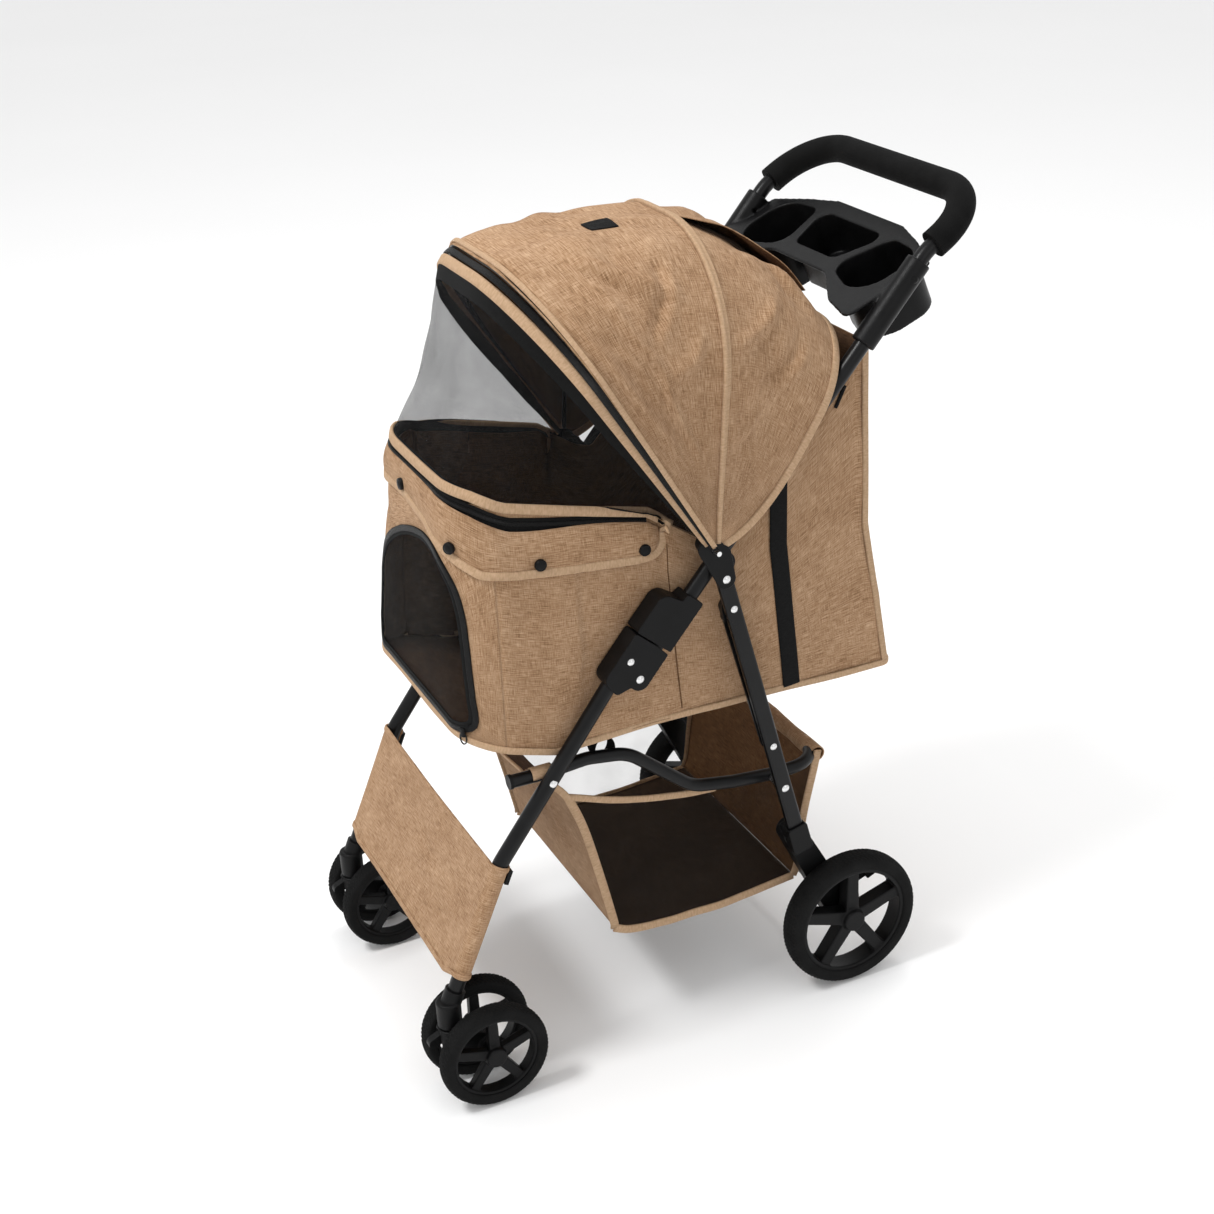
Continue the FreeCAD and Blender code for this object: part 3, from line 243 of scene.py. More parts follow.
TRAY_PLASTIC = moulded_plastic("tray_black", 0.003, 0.006, 0.34)
GRIP_FOAM = cell_foam("grip_foam", 0.0045, 0.85)
TYRE_FOAM = cell_foam("tyre_foam", 0.006, 0.75)
RIVET = bright_zinc("rivet_zinc", 0.62, 0.85, 0.24)
AXLE = bright_zinc("axle_zinc", 0.35, 0.5, 0.34)
BOARD = moulded_plastic("base_board", 0.01, 0.02, 0.6)


def finish_cad_nodes():
    """Materials of the CAD nodes whose own shape shows."""
    finishes = {"black_frame": COAT, "foam": GRIP_FOAM, "rivet_steel": RIVET, "axle_steel": AXLE,
                "black_plastic": PLASTIC, "board": BOARD, "tyre_foam": TYRE_FOAM}
    for part in frame["record"]["subparts"]:
        finish = finishes.get(part["material_slot"])
        if finish is None:
            continue
        node = frame["nodes"][part["node"]]
        node.data.materials.clear()
        node.data.materials.append(finish)


# ------------------------------------------------------------ mesh building

def unit(v):
    return v.normalized() if v.length > 1e-9 else Vector((0, 0, 1))


def between(line, at):
    """Value of a line of (place, value) points at a place, straight between them."""
    places = [p[0] for p in line]
    if at <= places[0]:
        return line[0][1]
    if at >= places[-1]:
        return line[-1][1]
    i = bisect.bisect_right(places, at)
    (a, va), (b, vb) = line[i - 1], line[i]
    return va + (vb - va) * (at - a) / (b - a)


def even(start, end, count):
    return [start + (end - start) * i / (count - 1) for i in range(count)]


def smooth(points, count, closed=False):
    """Evenly spaced points on a smooth curve through a few given points."""
    pts = [Vector(p) for p in points]
    n = len(pts)
    fine = []
    spans = n if closed else n - 1
    steps = 16
    for i in range(spans):
        p1, p2 = pts[i], pts[(i + 1) % n]
        p0 = pts[(i - 1) % n] if closed or i else p1 * 2 - p2
        p3 = pts[(i + 2) % n] if closed or i + 2 < n else p2 * 2 - p1
        for k in range(steps):
            t = k / steps
            fine.append(0.5 * ((2 * p1) + (p2 - p0) * t + (2 * p0 - 5 * p1 + 4 * p2 - p3) * t * t
                               + (3 * p1 - p0 - 3 * p2 + p3) * t ** 3))
    fine.append(pts[0].copy() if closed else pts[-1])
    reach = [0.0]
    for a, b in zip(fine, fine[1:]):
        reach.append(reach[-1] + (b - a).length)
    made = []
    for i in range(count):
        want = reach[-1] * i / (count if closed else count - 1)
        k = min(max(bisect.bisect_right(reach, want), 1), len(fine) - 1)
        t = (want - reach[k - 1]) / max(reach[k] - reach[k - 1], 1e-9)
        made.append(fine[k - 1].lerp(fine[k], t))
    return made


def mesh_piece(name, points, faces, materials, thread=None, slots=None):
    """Smooth-shaded mesh object from points in millimetres."""
    mesh = bpy.data.meshes.new(name)
    mesh.from_pydata([tuple(Vector(p) * MM) for p in points], [], faces)
    for material in materials if isinstance(materials, (list, tuple)) else [materials]:
        mesh.materials.append(material)
    for polygon in mesh.polygons:
        polygon.use_smooth = True
        if slots:
            polygon.material_index = slots[polygon.index]
    if thread:
        layer = mesh.attributes.new("thread", "FLOAT_VECTOR", "POINT")
        layer.data.foreach_set("vector", [c * MM for t in thread for c in (t[0], t[1], 0.0)])
    obj = bpy.data.objects.new(name, mesh)
    bpy.context.scene.collection.objects.link(obj)
    return obj


def thread_of(rows):
    """Thread places of a grid: the mean distance along its rows and across them."""
    count = len(rows[0])
    along, across = [0.0], [0.0]
    for j in range(1, count):
        along.append(along[-1] + sum((r[j] - r[j - 1]).length for r in rows) / len(rows))
    for a, b in zip(rows, rows[1:]):
        across.append(across[-1] + sum((q - p).length for p, q in zip(a, b)) / count)
    return [(along[j], across[i]) for i in range(len(rows)) for j in range(count)]


def grid_data(rows, closed=False):
    """Points, faces and thread places of a sheet through rows of points."""
    count = len(rows[0])
    points = [p for row in rows for p in row]
    last = count if closed else count - 1
    faces = [(i * count + j, i * count + (j + 1) % count, (i + 1) * count + (j + 1) % count, (i + 1) * count + j)
             for i in range(len(rows) - 1) for j in range(last)]
    return points, faces, thread_of(rows)


def facing(points, faces, outward):
    """How far faces look the outward way, summed over their areas."""
    total = 0
    for a, b, c, d in faces:
        middle = (points[a] + points[b] + points[c] + points[d]) / 4
        total += (points[c] - points[a]).cross(points[d] - points[b]).dot(outward(middle))
    return total


def sheet_piece(name, grids, materials, thick=1.2, lining=False, outward=None):
    """Cloth joined from one or more grids of points, thickened inwards."""
    points, faces, thread = [], [], []
    for rows in grids:
        p, f, t = grid_data(rows)
        if outward is not None and facing(p, f, outward) < 0:
            f = [face[::-1] for face in f]
        base = len(points)
        points += p
        thread += t
        faces += [tuple(base + i for i in face) for face in f]
    obj = mesh_piece(name, points, faces, materials, thread)
    edit = bmesh.new()
    edit.from_mesh(obj.data)
    bmesh.ops.remove_doubles(edit, verts=edit.verts, dist=0.00008)
    bmesh.ops.dissolve_degenerate(edit, edges=edit.edges, dist=0.00002)
    edit.to_mesh(obj.data)
    edit.free()
    if thick:
        solid = obj.modifiers.new("thickness", "SOLIDIFY")
        solid.thickness = thick * MM
        solid.offset = -1
        if lining:
            solid.material_offset = 1
        settle(obj)
    return obj


def settle(obj):
    """Applies an object's modifiers."""
    graph = bpy.context.evaluated_depsgraph_get()
    graph.update()
    mesh = bpy.data.meshes.new_from_object(obj.evaluated_get(graph), preserve_all_data_layers=True, depsgraph=graph)
    obj.modifiers.clear()
    obj.data = mesh
    return obj


TAPE_SECTION = [(1, 0), (0.94, 0.62), (0.72, 0.95), (0, 1), (-0.72, 0.95), (-0.94, 0.62),
                (-1, 0), (-0.94, -0.62), (-0.72, -0.95), (0, -1), (0.72, -0.95), (0.94, -0.62)]


def tape(name, path, across, width, thick, material, closed=False):
    """Rounded flat tape along a path, with the direction across it given at each point."""
    count = len(path)
    rings = []
    for i, point in enumerate(path):
        ahead = path[(i + 1) % count] if closed or i + 1 < count else point
        behind = path[i - 1] if closed or i else point
        run = unit(ahead - behind)
        side = unit(across[i] - run * across[i].dot(run))
        up = run.cross(side)
        rings.append([point + side * (u * width / 2) + up * (v * thick / 2) for u, v in TAPE_SECTION])
    n = len(TAPE_SECTION)
    points = [p for ring in rings for p in ring]
    spans = count if closed else count - 1
    faces = [(i * n + k, i * n + (k + 1) % n, ((i + 1) % count) * n + (k + 1) % n, ((i + 1) % count) * n + k)
             for i in range(spans) for k in range(n)]
    if not closed:
        faces += [tuple(range(n))[::-1], tuple((count - 1) * n + k for k in range(n))]
    reach, thread = 0.0, []
    for i in range(count):
        reach += (path[i] - path[i - 1]).length if i else 0
        thread += [(reach, u * width / 2) for u, v in TAPE_SECTION]
    obj = mesh_piece(name, points, faces, material, thread)
    edit = bmesh.new()
    edit.from_mesh(obj.data)
    bmesh.ops.recalc_face_normals(edit, faces=edit.faces)
    edit.to_mesh(obj.data)
    edit.free()
    return obj


def join(name, pieces):
    """Several meshes as one piece."""
    keep = pieces[0]
    with bpy.context.temp_override(active_object=keep, selected_editable_objects=pieces):
        bpy.ops.object.join()
    keep.name = name
    keep.data.name = name
    return keep


def creases(point, size, depth, seed):
    """Height of soft creases at a point: dips where warped noise crosses zero."""
    place = Vector((point[0] / size, point[1] / size, point[2] / size + seed * 7.31))
    warp = noise.noise_vector(place * 0.6) * 0.7
    value = noise.noise(place + warp)
    return depth * (math.sqrt(value * value + 0.012) - 0.28) * 2


def ripple(point, size, depth, seed):
    """Soft uneven swell of a cloth."""
    place = Vector((point[0] / size, point[1] / size, point[2] / size + seed * 3.17))
    return depth * noise.noise(place)


# ------------------------------------------------- how pieces follow the frame

FOLD_Z = joint_mm("canopy_fold")[1]
CABIN_LOW, CABIN_HIGH = box_mm("cabin_shell")


def gather(obj, part, body):
    """Rides obj on a body under the name part, with a mesh of its own."""
    obj.name = part
    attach(obj, body)
    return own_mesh(obj)


def hang(obj, body):
    """Rides a cabin piece on its body. A piece that crosses the fold line is cut there into a high and a low part."""
    heights = [v.co.z for v in obj.data.vertices]
    line = FOLD_Z * MM
    if min(heights) > line - 0.001:
        return [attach(obj, body)]
    if max(heights) < line + 0.001:
        return [gather(obj, obj.name, body)]
    name = obj.name
    whole = bmesh.new()
    whole.from_mesh(obj.data)
    bmesh.ops.bisect_plane(whole, geom=whole.verts[:] + whole.edges[:] + whole.faces[:],
                           plane_co=(0, 0, line), plane_no=(0, 0, 1), dist=1e-7)
    whole.normal_update()
    solid = not any(e.is_boundary for e in whole.edges)
    made = []
    for part, way in (("high", 1), ("low", -1)):
        half = whole.copy()
        away = [v for v in half.verts if way * (v.co.z - line) < -1e-6]
        normals = {tuple(round(c, 6) for c in v.co): v.normal.copy() for v in half.verts}
        bmesh.ops.delete(half, geom=away, context="VERTS")
        if solid:
            bmesh.ops.triangle_fill(half, edges=[e for e in half.edges if e.is_boundary])
        mesh = bpy.data.meshes.new(f"{name}_{part}")
        half.to_mesh(mesh)
        half.free()
        for material in obj.data.materials:
            mesh.materials.append(material)
        mesh.normals_split_custom_set_from_vertices(
            [normals[tuple(round(c, 6) for c in v.co)] for v in mesh.vertices])
        copy = bpy.data.objects.new(f"{name}_{part}", mesh)
        bpy.context.scene.collection.objects.link(copy)
        made.append(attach(copy, body) if way > 0 else gather(copy, copy.name, body))
    whole.free()
    bpy.data.objects.remove(obj)
    return made


# -------------------------------------------------------------------- cabin

HALF, FRONT = CABIN_HIGH.x, CABIN_LOW.y
FRONT_ARC, REAR_ARC = 58, 14
FLAT = HALF - FRONT_ARC
ARC_LONG = FRONT_ARC * math.pi / 2
SIDE_START = FLAT + ARC_LONG
SIDE_LONG = CABIN_HIGH.y + 10 - REAR_ARC - (FRONT + FRONT_ARC)
REAR_START = SIDE_START + SIDE_LONG
REAR_TURN = REAR_START + REAR_ARC * math.pi / 2
WHOLE = REAR_TURN + HALF - REAR_ARC
REAR_LEAN = [(CABIN_LOW.z, CABIN_HIGH.y + 10), (620, 235), (843, 231)]
BOTTOM_LINE = [(FRONT, 459), (-190, 426), (0, 429), (CABIN_HIGH.y + 10, 424)]
RIM_LINE = [(FRONT, 765), (-270, 757), (-228, 738), (-155, 719), (-57, 695), (-30, 676), (0, 656), (22, 650),
            (60, 690), (120, 752), (206, 843), (240, 843)]
RIM_LEAN = 11
FAR_ARC = [(459, FRONT_ARC), (500, 62), (577, 95), (640, 132), (675, 152), (765, 150)]


def side_place(w, z):
    """Plan place and outward direction of the cabin wall, w along it from the front's middle.

    The right-hand front corner slackens into a wider curve towards the rim.
    """
    way, w = (1, w) if w >= 0 else (-1, -w)
    rear = between(REAR_LEAN, z)
    wide = between(FAR_ARC, z)
    base = SIDE_START + wide - FRONT_ARC
    if way < 0 and w < base:
        run = w * (HALF - wide + wide * math.pi / 2) / base
        turn = max(0, run - HALF + wide) / wide
        nx, ny = math.sin(turn), -math.cos(turn)
        x, y = min(run, HALF - wide) + wide * nx, FRONT + wide + wide * ny
    elif w <= FLAT:
        x, y, nx, ny = w, FRONT, 0, -1
    elif w <= SIDE_START:
        turn = (w - FLAT) / FRONT_ARC
        nx, ny = math.sin(turn), -math.cos(turn)
        x, y = FLAT + FRONT_ARC * nx, FRONT + FRONT_ARC + FRONT_ARC * ny
    elif w <= REAR_START:
        front = FRONT + FRONT_ARC
        x, y, nx, ny = HALF, front + (w - SIDE_START) / SIDE_LONG * (rear - REAR_ARC - front), 1, 0
    elif w <= REAR_TURN:
        turn = (w - REAR_START) / REAR_ARC
        nx, ny = math.cos(turn), math.sin(turn)
        x, y = HALF - REAR_ARC + REAR_ARC * nx, rear - REAR_ARC + REAR_ARC * ny
    else:
        x, y, nx, ny = WHOLE - w, rear, 0, 1
    return Vector((way * x, y, z)), Vector((way * nx, ny, 0))


def wall_bottom(w):
    return between(BOTTOM_LINE, side_place(w, CABIN_LOW.z)[0].y)


def wall_top(w):
    """Height of the rim, which follows the wall's own place at that height."""
    z = 700
    for _ in range(4):
        z = between(RIM_LINE, side_place(w, z)[0].y)
    return z


LOCK_AT = Vector((HALF, -75, 530))


def wall_point(w, z, out=0.0, calm=0.0):
    """Point of the cabin's cloth. out stands off it, and calm flattens its creases."""
    point, way = side_place(w, z)
    top, bottom = wall_top(w), wall_bottom(w)
    lean = -RIM_LEAN * max(0, (z - top + 110) / 110) ** 1.3 if point.y < -40 else 0
    inner = abs(point.x) / HALF
    loose = min(1, max(0, (z - bottom) / 60)) * min(1, max(0, (top - z) / 50)) * (1 - calm)
    stretch = Vector((point.x, point.y, point.z * 0.55))
    folds = creases(stretch, 62, 1.5, 1) + ripple(point, 110, 2.4, 2) + creases(stretch, 26, 0.4, 3)
    belly = 3.5 * loose * math.sin(math.pi * min(1, max(0, (z - bottom) / (top - bottom)))) if point.y < -150 else 0
    tuck = -2.5 * math.exp(-((point - LOCK_AT).length / 90) ** 2) if inner > 0.9 else 0
    hem = 1.2 * math.sin(point.y / 23) * math.exp(-max(0, z - bottom) / 14)
    return point + way * (lean + folds * loose + belly + tuck - 1.0 + hem * 0.4 + out)


def wall_way(w, z):
    return side_place(w, z)[1]


def wall_frame(w, z, dw, dz):
    """Direction in the wall's surface for a step along it and a step up."""
    step = 1.5
    here = wall_point(w, z, 0, 1)
    there = wall_point(w + dw * step, z + dz * step, 0, 1)
    return unit(there - here)


def wall_tape(name, route, count, width, thick, material, out, closed=False, calm=0.6):
    """Tape sewn on the wall along a route of (w, z) points."""
    line = smooth([(w, z, 0) for w, z in route], count, closed)
    path = [wall_point(p.x, p.y, out, calm) for p in line]
    across = []
    for i, p in enumerate(line):
        a = line[(i + 1) % count] if closed or i + 1 < count else p
        b = line[i - 1] if closed or i else p
        run = unit(a - b)
        across.append(wall_frame(p.x, p.y, -run.y, run.x))
    return tape(name, path, across, width, thick, material, closed)


DOOR_ROUTE = [(154, 478), (153, 560), (150, 618), (141, 652), (118, 677), (84, 688), (44, 684), (0, 670),
              (-50, 646), (-94, 614), (-120, 578), (-133, 540), (-138, 505), (-137, 478), (-122, 470),
              (-60, 468), (10, 468), (84, 468), (138, 469)]
DOOR_MIDDLE = Vector((20, 568, 0))
PATCH = 190
REAR_DOOR_LOW, REAR_DOOR_HIGH, REAR_DOOR_HALF = 461, 800, 138
REAR_DOOR_W = WHOLE - REAR_DOOR_HALF


def wall_strip(start, end, columns, rows, low=wall_bottom, high=wall_top):
    """Grid of the wall between two places along it."""
    ws = even(start, end, columns)
    return [[wall_point(w, low(w) + (high(w) - low(w)) * i / (rows - 1)) for w in ws] for i in range(rows)]


def door_patch(outline):
    """Grid of the front wall, from the door's outline out to the patch's edge."""
    outer = []
    for p in outline:
        way = p - DOOR_MIDDLE
        reach = min((PATCH if way.x > 0 else -PATCH) / way.x - DOOR_MIDDLE.x / way.x if abs(way.x) > 1e-6 else 99, 99)
        for _ in range(6):
            edge = DOOR_MIDDLE + way * reach
            limit = wall_top(edge.x) if way.y > 0 else wall_bottom(edge.x)
            if (edge.y - limit) * (1 if way.y > 0 else -1) > 0:
                reach = (limit - DOOR_MIDDLE.y) / way.y
        outer.append(DOOR_MIDDLE + way * reach)
    rows = []
    for t in (0, 0.04, 0.12, 0.22, 0.34, 0.46, 0.58, 0.7, 0.82, 0.92, 1):
        row = [p.lerp(q, t) for p, q in zip(outline, outer)]
        row = [wall_point(p.x, p.y, 0, max(0, 1 - t * 3)) for p in row]
        rows.append(row + [row[0]])
    return rows


def away_from_middle(point):
    return Vector((point.x, point.y + 20, 0))


def cabin():
    """Cloth cabin: walls with their doors cut out, floor, rim flap, tapes, snaps and straps."""
    outline = smooth([(w, z, 0) for w, z in DOOR_ROUTE], 150, True)
    above = lambda w: REAR_DOOR_HIGH
    below = lambda w: REAR_DOOR_LOW
    grids = [door_patch(outline)]
    for way in (1, -1):
        grids.append(wall_strip(way * PATCH, way * REAR_DOOR_W, 112, 60))
    grids.append(wall_strip(REAR_DOOR_W, 2 * WHOLE - REAR_DOOR_W, 40, 6, high=below))
    grids.append(wall_strip(REAR_DOOR_W, 2 * WHOLE - REAR_DOOR_W, 40, 8, low=above))
    wall = sheet_piece("cabin_wall", grids, [TAN, LINING], 1.2, True, away_from_middle)
    parts = hang(wall, "root")
    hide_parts("cabin_shell")
    cabin_floor()
    cabin_front(outline)
    cabin_rear()
    cabin_trim()
    return parts


def cabin_floor():
    """Floor cloth under the base board, and the hem tape round it."""
    rows = []
    for y in [FRONT + FRONT_ARC * (1 - math.cos(a)) for a in even(0.12, math.pi / 2, 12)] + even(-225, 250, 60):
        inset = max(0, FRONT + FRONT_ARC - y)
        half = FLAT + math.sqrt(FRONT_ARC ** 2 - inset ** 2) - 1 if inset else HALF - 1
        z = between(BOTTOM_LINE, y)
        rows.append([Vector((x, y, z + 0.5 - 1.5 * math.cos(x / half * math.pi / 2))) for x in even(-half, half, 30)])
    floor = sheet_piece("cabin_floor_cloth", [rows], [TAN, LINING], 1.0, True, lambda p: Vector((0, 0, -1)))
    hang(floor, "root")[0]
    count = 300
    ring = [2 * WHOLE * i / count - WHOLE for i in range(count)]
    path = []
    for w in ring:
        room = 2.2 * math.exp(-((side_place(w, CABIN_LOW.z)[0].y + 60) / 60) ** 2)
        path.append(wall_point(w, wall_bottom(w) + 1.0, 1.2 + 0.8 * math.sin(w / 31) - room, 0.9))
    hem = tape("cabin_hem", path, [Vector((0, 0, 1))] * count, 8.5, 3.2, BINDING, True)
    hang(hem, "root")


def loop_frame(route, count):
    line = smooth([(w, z, 0) for w, z in route], count, True)
    return line


def cabin_front(outline):
    """Mesh door in the front wall, its zip and its puller."""
    count = len(outline)
    rows = []
    for t in (0.995, 0.9, 0.8, 0.68, 0.55, 0.42, 0.3, 0.18, 0.08, 0.01):
        row = []
        for p in outline:
            at = DOOR_MIDDLE.lerp(p, t)
            swell = 5.0 * (1 - t * t) + ripple((at.x, at.y, 0), 70, 3.0 * (1 - t ** 4), 5)
            row.append(wall_point(at.x, at.y, -1.0 + swell, 1))
        rows.append(row + [row[0]])
    net = sheet_piece("door_net", [rows], [DOOR_NET], 0, False, away_from_middle)
    place = DOOR_MIDDLE
    layer = net.data.attributes["thread"]
    for v, t in zip(net.data.vertices, layer.data):
        t.vector = (v.co.x - place.x * MM, v.co.z, 0)
    parts = hang(net, "front_door")
    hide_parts("front_door")
    inner = [DOOR_MIDDLE.lerp(p, 0.965) for p in outline]
    edge = wall_tape("door_edge_tape", [(p.x, p.y) for p in inner[::6]], count, 9, 1.8, WEBBING, 0.6, True, 1)
    hang(edge, "front_door")
    zip_line = wall_tape("door_zip", [(p.x, p.y) for p in outline[::6]], count, 7.5, 3.4, ZIP, 1.2, True, 1)
    hang(zip_line, "root")
    puller = puller_ring("door_zip_puller", wall_point(139, 467, 3.5, 1), wall_way(139, 467), 7.5)
    hang(puller, "root")


def puller_ring(name, at, out, size):
    """Wire ring and slider body of a zip, hanging flat on the cloth."""
    side = unit(Vector((0, 0, 1)).cross(out))
    up = Vector((0, 0, 1))
    turns = [2 * math.pi * i / 28 for i in range(28)]
    path = [at + side * math.cos(a) * size * 0.62 + up * (math.sin(a) * size - size) for a in turns]
    ring = tape(name, path, [out] * len(path), 1.5, 1.5, COAT, True)
    body = [at + up * (6 - 11 * t) for t in even(0, 1, 8)]
    slider = tape(name + "_slider", body, [side] * 8, 6.5, 4.0, PLASTIC)
    return join(name, [ring, slider])


def cabin_rear():
    """Cloth rear door with the zips up its sides and their pullers."""
    def point(x, z, out=0.0):
        y = between(REAR_LEAN, z)
        loose = min(1, (REAR_DOOR_HALF - abs(x)) / 30) * min(1, (z - REAR_DOOR_LOW) / 40)
        folds = creases((x, y, z), 70, 1.4, 8) + ripple((x, y, z), 120, 2.5, 9)
        return Vector((x, y - 1 + folds * max(0, loose) + out, z))
    half = REAR_DOOR_HALF - 3
    rows = [[point(x, z) for x in even(-half, half, 54)] for z in even(REAR_DOOR_LOW + 1, REAR_DOOR_HIGH - 1, 70)]
    door = sheet_piece("rear_door_cloth", [rows], [TAN, LINING], 1.2, True, lambda p: Vector((0, 1, 0)))
    parts = hang(door, "rear_door")
    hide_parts("rear_door")
    for name, way in (("l", 1), ("r", -1)):
        x = way * (REAR_DOOR_HALF - 1)
        line = [point(x, z, 1.4) for z in even(REAR_DOOR_LOW, REAR_DOOR_HIGH + 12, 60)]
        hang(tape(f"rear_zip_{name}", line, [Vector((1, 0, 0))] * 60, 8, 3, ZIP), "root")
        for k, shift in (("a", -8.5), ("b", 8.5)):
            at = [p + Vector((way * shift, 0.6, 0)) for p in line]
            hang(tape(f"rear_binding_{name}{k}", at, [Vector((1, 0, 0))] * 60, 8, 2.4, BINDING), "root")
        puller = puller_ring(f"rear_zip_puller_{name}", point(x, 768, 4.5), Vector((0, 1, 0)), 7)
        hang(puller, "root")
    line = [point(x, REAR_DOOR_HIGH + 2, 1.2) for x in even(-half, half, 30)]
    hang(tape("rear_top_binding", line, [Vector((0, 0, 1))] * 30, 9, 2.6, BINDING), "root")
    pocket = [[point(x, z, 5 + 3 * math.cos(x / 90 * math.pi / 2)) for x in even(-92, 92, 40)]
              for z in even(500, 640, 30)]
    flap = sheet_piece("rear_pocket", [pocket], [TAN, LINING], 1.2, True, lambda p: Vector((0, 1, 0)))
    hang(flap, "rear_door")[0]
    line = [point(x, 640, 5.4 + 3 * math.cos(x / 90 * math.pi / 2)) for x in even(-92, 92, 30)]
    hang(tape("rear_pocket_binding", line, [Vector((0, 0, 1))] * 30, 9, 2.8, BINDING), "rear_door")


FLAP_LOW = [(0, 721), (30, 720), (90, 712), (140, 690), (176, 668), (215, 660), (262, 654), (320, 648), (372, 643),
            (394, 643), (404, 648), (410, 656), (412, 665)]
SNAPS_AT = (144, 246, 384)


def flap_low(w):
    return between(FLAP_LOW, abs(w))


def flap_top(w):
    """Top of the rim flap: it dips below the rim between the front and the sides, baring the zip."""
    dip = 15 * math.exp(-((abs(w) - 215) / 85) ** 2)
    return max(wall_top(w) - 11 - dip, flap_low(w) + 3)


def rim_flap():
    """Cloth flap that hangs round the rim and covers its zip, with a binding and snaps."""
    end = 410
    ws = even(-end, end, 230)
    rows = []
    for t in even(0, 1, 14):
        row = []
        for w in ws:
            z = flap_top(w) + (flap_low(w) - flap_top(w)) * t
            swell = 4.2 + 4.0 * math.sin(math.pi * t) + ripple((w, z, 0), 55, 2.6 * t, 14)
            row.append(wall_point(w, z, swell * min(1, (end - abs(w)) / 20 + 0.4), 0.8))
        rows.append(row)
    flap = sheet_piece("rim_flap", [rows], [TAN, LINING], 1.2, True, away_from_middle)
    parts = hang(flap, "root")
    edge = [(w, flap_low(w) + 1) for w in even(-end, end, 120)]
    edge = [(-414, 675), (-413, 667)] + edge + [(413, 667), (414, 675)]
    hang(wall_tape("rim_flap_binding", edge, 280, 10, 4.2, BINDING, 5.4, calm=0.8), "root")


def cap_disc(name, at, out, radius, height, material):
    """Domed button with a rolled edge, lathed about its own axis."""
    profile = [(0, 1), (0.35, 0.97), (0.62, 0.88), (0.72, 0.72), (0.78, 0.78), (0.9, 0.76), (0.99, 0.5), (1, 0.2),
               (0.97, -0.3)]
    side = unit(out.cross(Vector((0, 0, 1)) if abs(out.z) < 0.9 else Vector((1, 0, 0))))
    other = out.cross(side)
    turns = 28
    rows = [[at + out * (h * height) + (side * math.cos(a) + other * math.sin(a)) * (r * radius + 0.001)
             for a in [2 * math.pi * k / turns for k in range(turns)]] for r, h in profile]
    points, faces, thread = grid_data(rows, closed=True)
    obj = mesh_piece(name, points, faces, material, thread)
    edit = bmesh.new()
    edit.from_mesh(obj.data)
    bmesh.ops.remove_doubles(edit, verts=edit.verts, dist=1e-5)
    bmesh.ops.recalc_face_normals(edit, faces=edit.faces)
    edit.to_mesh(obj.data)
    edit.free()
    if sum(p.normal.dot(out) for p in obj.data.polygons) < 0:
        obj.data.flip_normals()
    return obj


def cabin_trim():
    """Rim binding and zip, flap with its snaps, side straps, seams and loops."""
    rim_flap()
    end = 422
    count = 280
    ws = even(-end, end, count)
    rim = [wall_point(w, wall_top(w) - 1, 0.6 + 0.5 * math.sin(w / 37), 1) for w in ws]
    across = [unit(Vector((0, 0, 1)) - wall_way(w, 700) * 0.25) for w in ws]
    hang(tape("rim_binding", rim, across, 12, 4.6, BINDING), "root")
    wire = tape("rim_wire", rim, across, 4, 4, COAT)
    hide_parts("rim_hoop")
    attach(wire, "root")
    zip_route = [(w, wall_top(w) - 14 - 6 * math.exp(-((abs(w) - 215) / 85) ** 2)) for w in even(-392, 392, 120)]
    hang(wall_tape("rim_zip_tape", zip_route, 260, 17, 2.2, WEBBING, 0.8, calm=1), "root")
    hang(wall_tape("rim_zip", [(w, z + 2) for w, z in zip_route], 260, 5, 3.2, ZIP, 2.2, calm=1), "root")
    for w in SNAPS_AT + tuple(-at for at in SNAPS_AT) + (20,):
        z = flap_low(w) + 12
        name = f"snap_{'l' if w > 0 else 'r'}{abs(w)}"
        hang(cap_disc(name, wall_point(w, z, 8.6, 0.8), wall_way(w, z), 7, 4.5, PLASTIC), "root")
    for way, side in ((1, "l"), (-1, "r")):
        strap = [(way * (SIDE_START + 362 + (z - 430) * 0.03), z) for z in even(430, 728, 12)]
        hang(wall_tape(f"side_strap_{side}", strap, 80, 23, 1.8, WEBBING, 1.8, calm=0.2), "root")
        seam = [(way * (SIDE_START + 214), z) for z in even(438, 655, 8)]
        hang(wall_tape(f"side_seam_{side}", seam, 60, 1.6, 1.0, LINING, 0.1, calm=0.6), "root")
        corner = [(way * (REAR_START + 4), z) for z in even(428, 838, 12)]
        hang(wall_tape(f"corner_binding_{side}", corner, 90, 9, 3, BINDING, 1.2, calm=0.8), "root")
        tab = [(way * (REAR_START - 40), 775), (way * (REAR_START - 26), 800)]
        hang(wall_tape(f"keeper_tab_{side}", tab, 10, 4.5, 2.2, WEBBING, 2.0, calm=1), "root")
        loop = [Vector((way * 150, -125 + 13 * math.sin(a), 420 + 2 - 15 + 17 * math.cos(a)))
                for a in even(-math.pi * 0.92, math.pi * 0.92, 26)]
        piece = tape(f"floor_loop_{side}", loop, [Vector((1, 0, 0))] * 26, 22, 1.6, WEBBING)
        hang(piece, "root")


# ------------------------------------------------------------------- canopy

PIVOT_Y, PIVOT_Z = joint_mm("canopy_fold")
FRONT_BOW = (120.9, 386, 213.6, 135, 0)
MID_BOW = (85.9, 345, 208.3, 150, 0)
REAR_EDGE = (52.5, 286, 199, 92, 45)
FOOT = 12
CLOTH_OUT = 3.2
FAR_DROP = 26


def bow_mix(a, b, t):
    return tuple(p + (q - p) * t for p, q in zip(a, b))


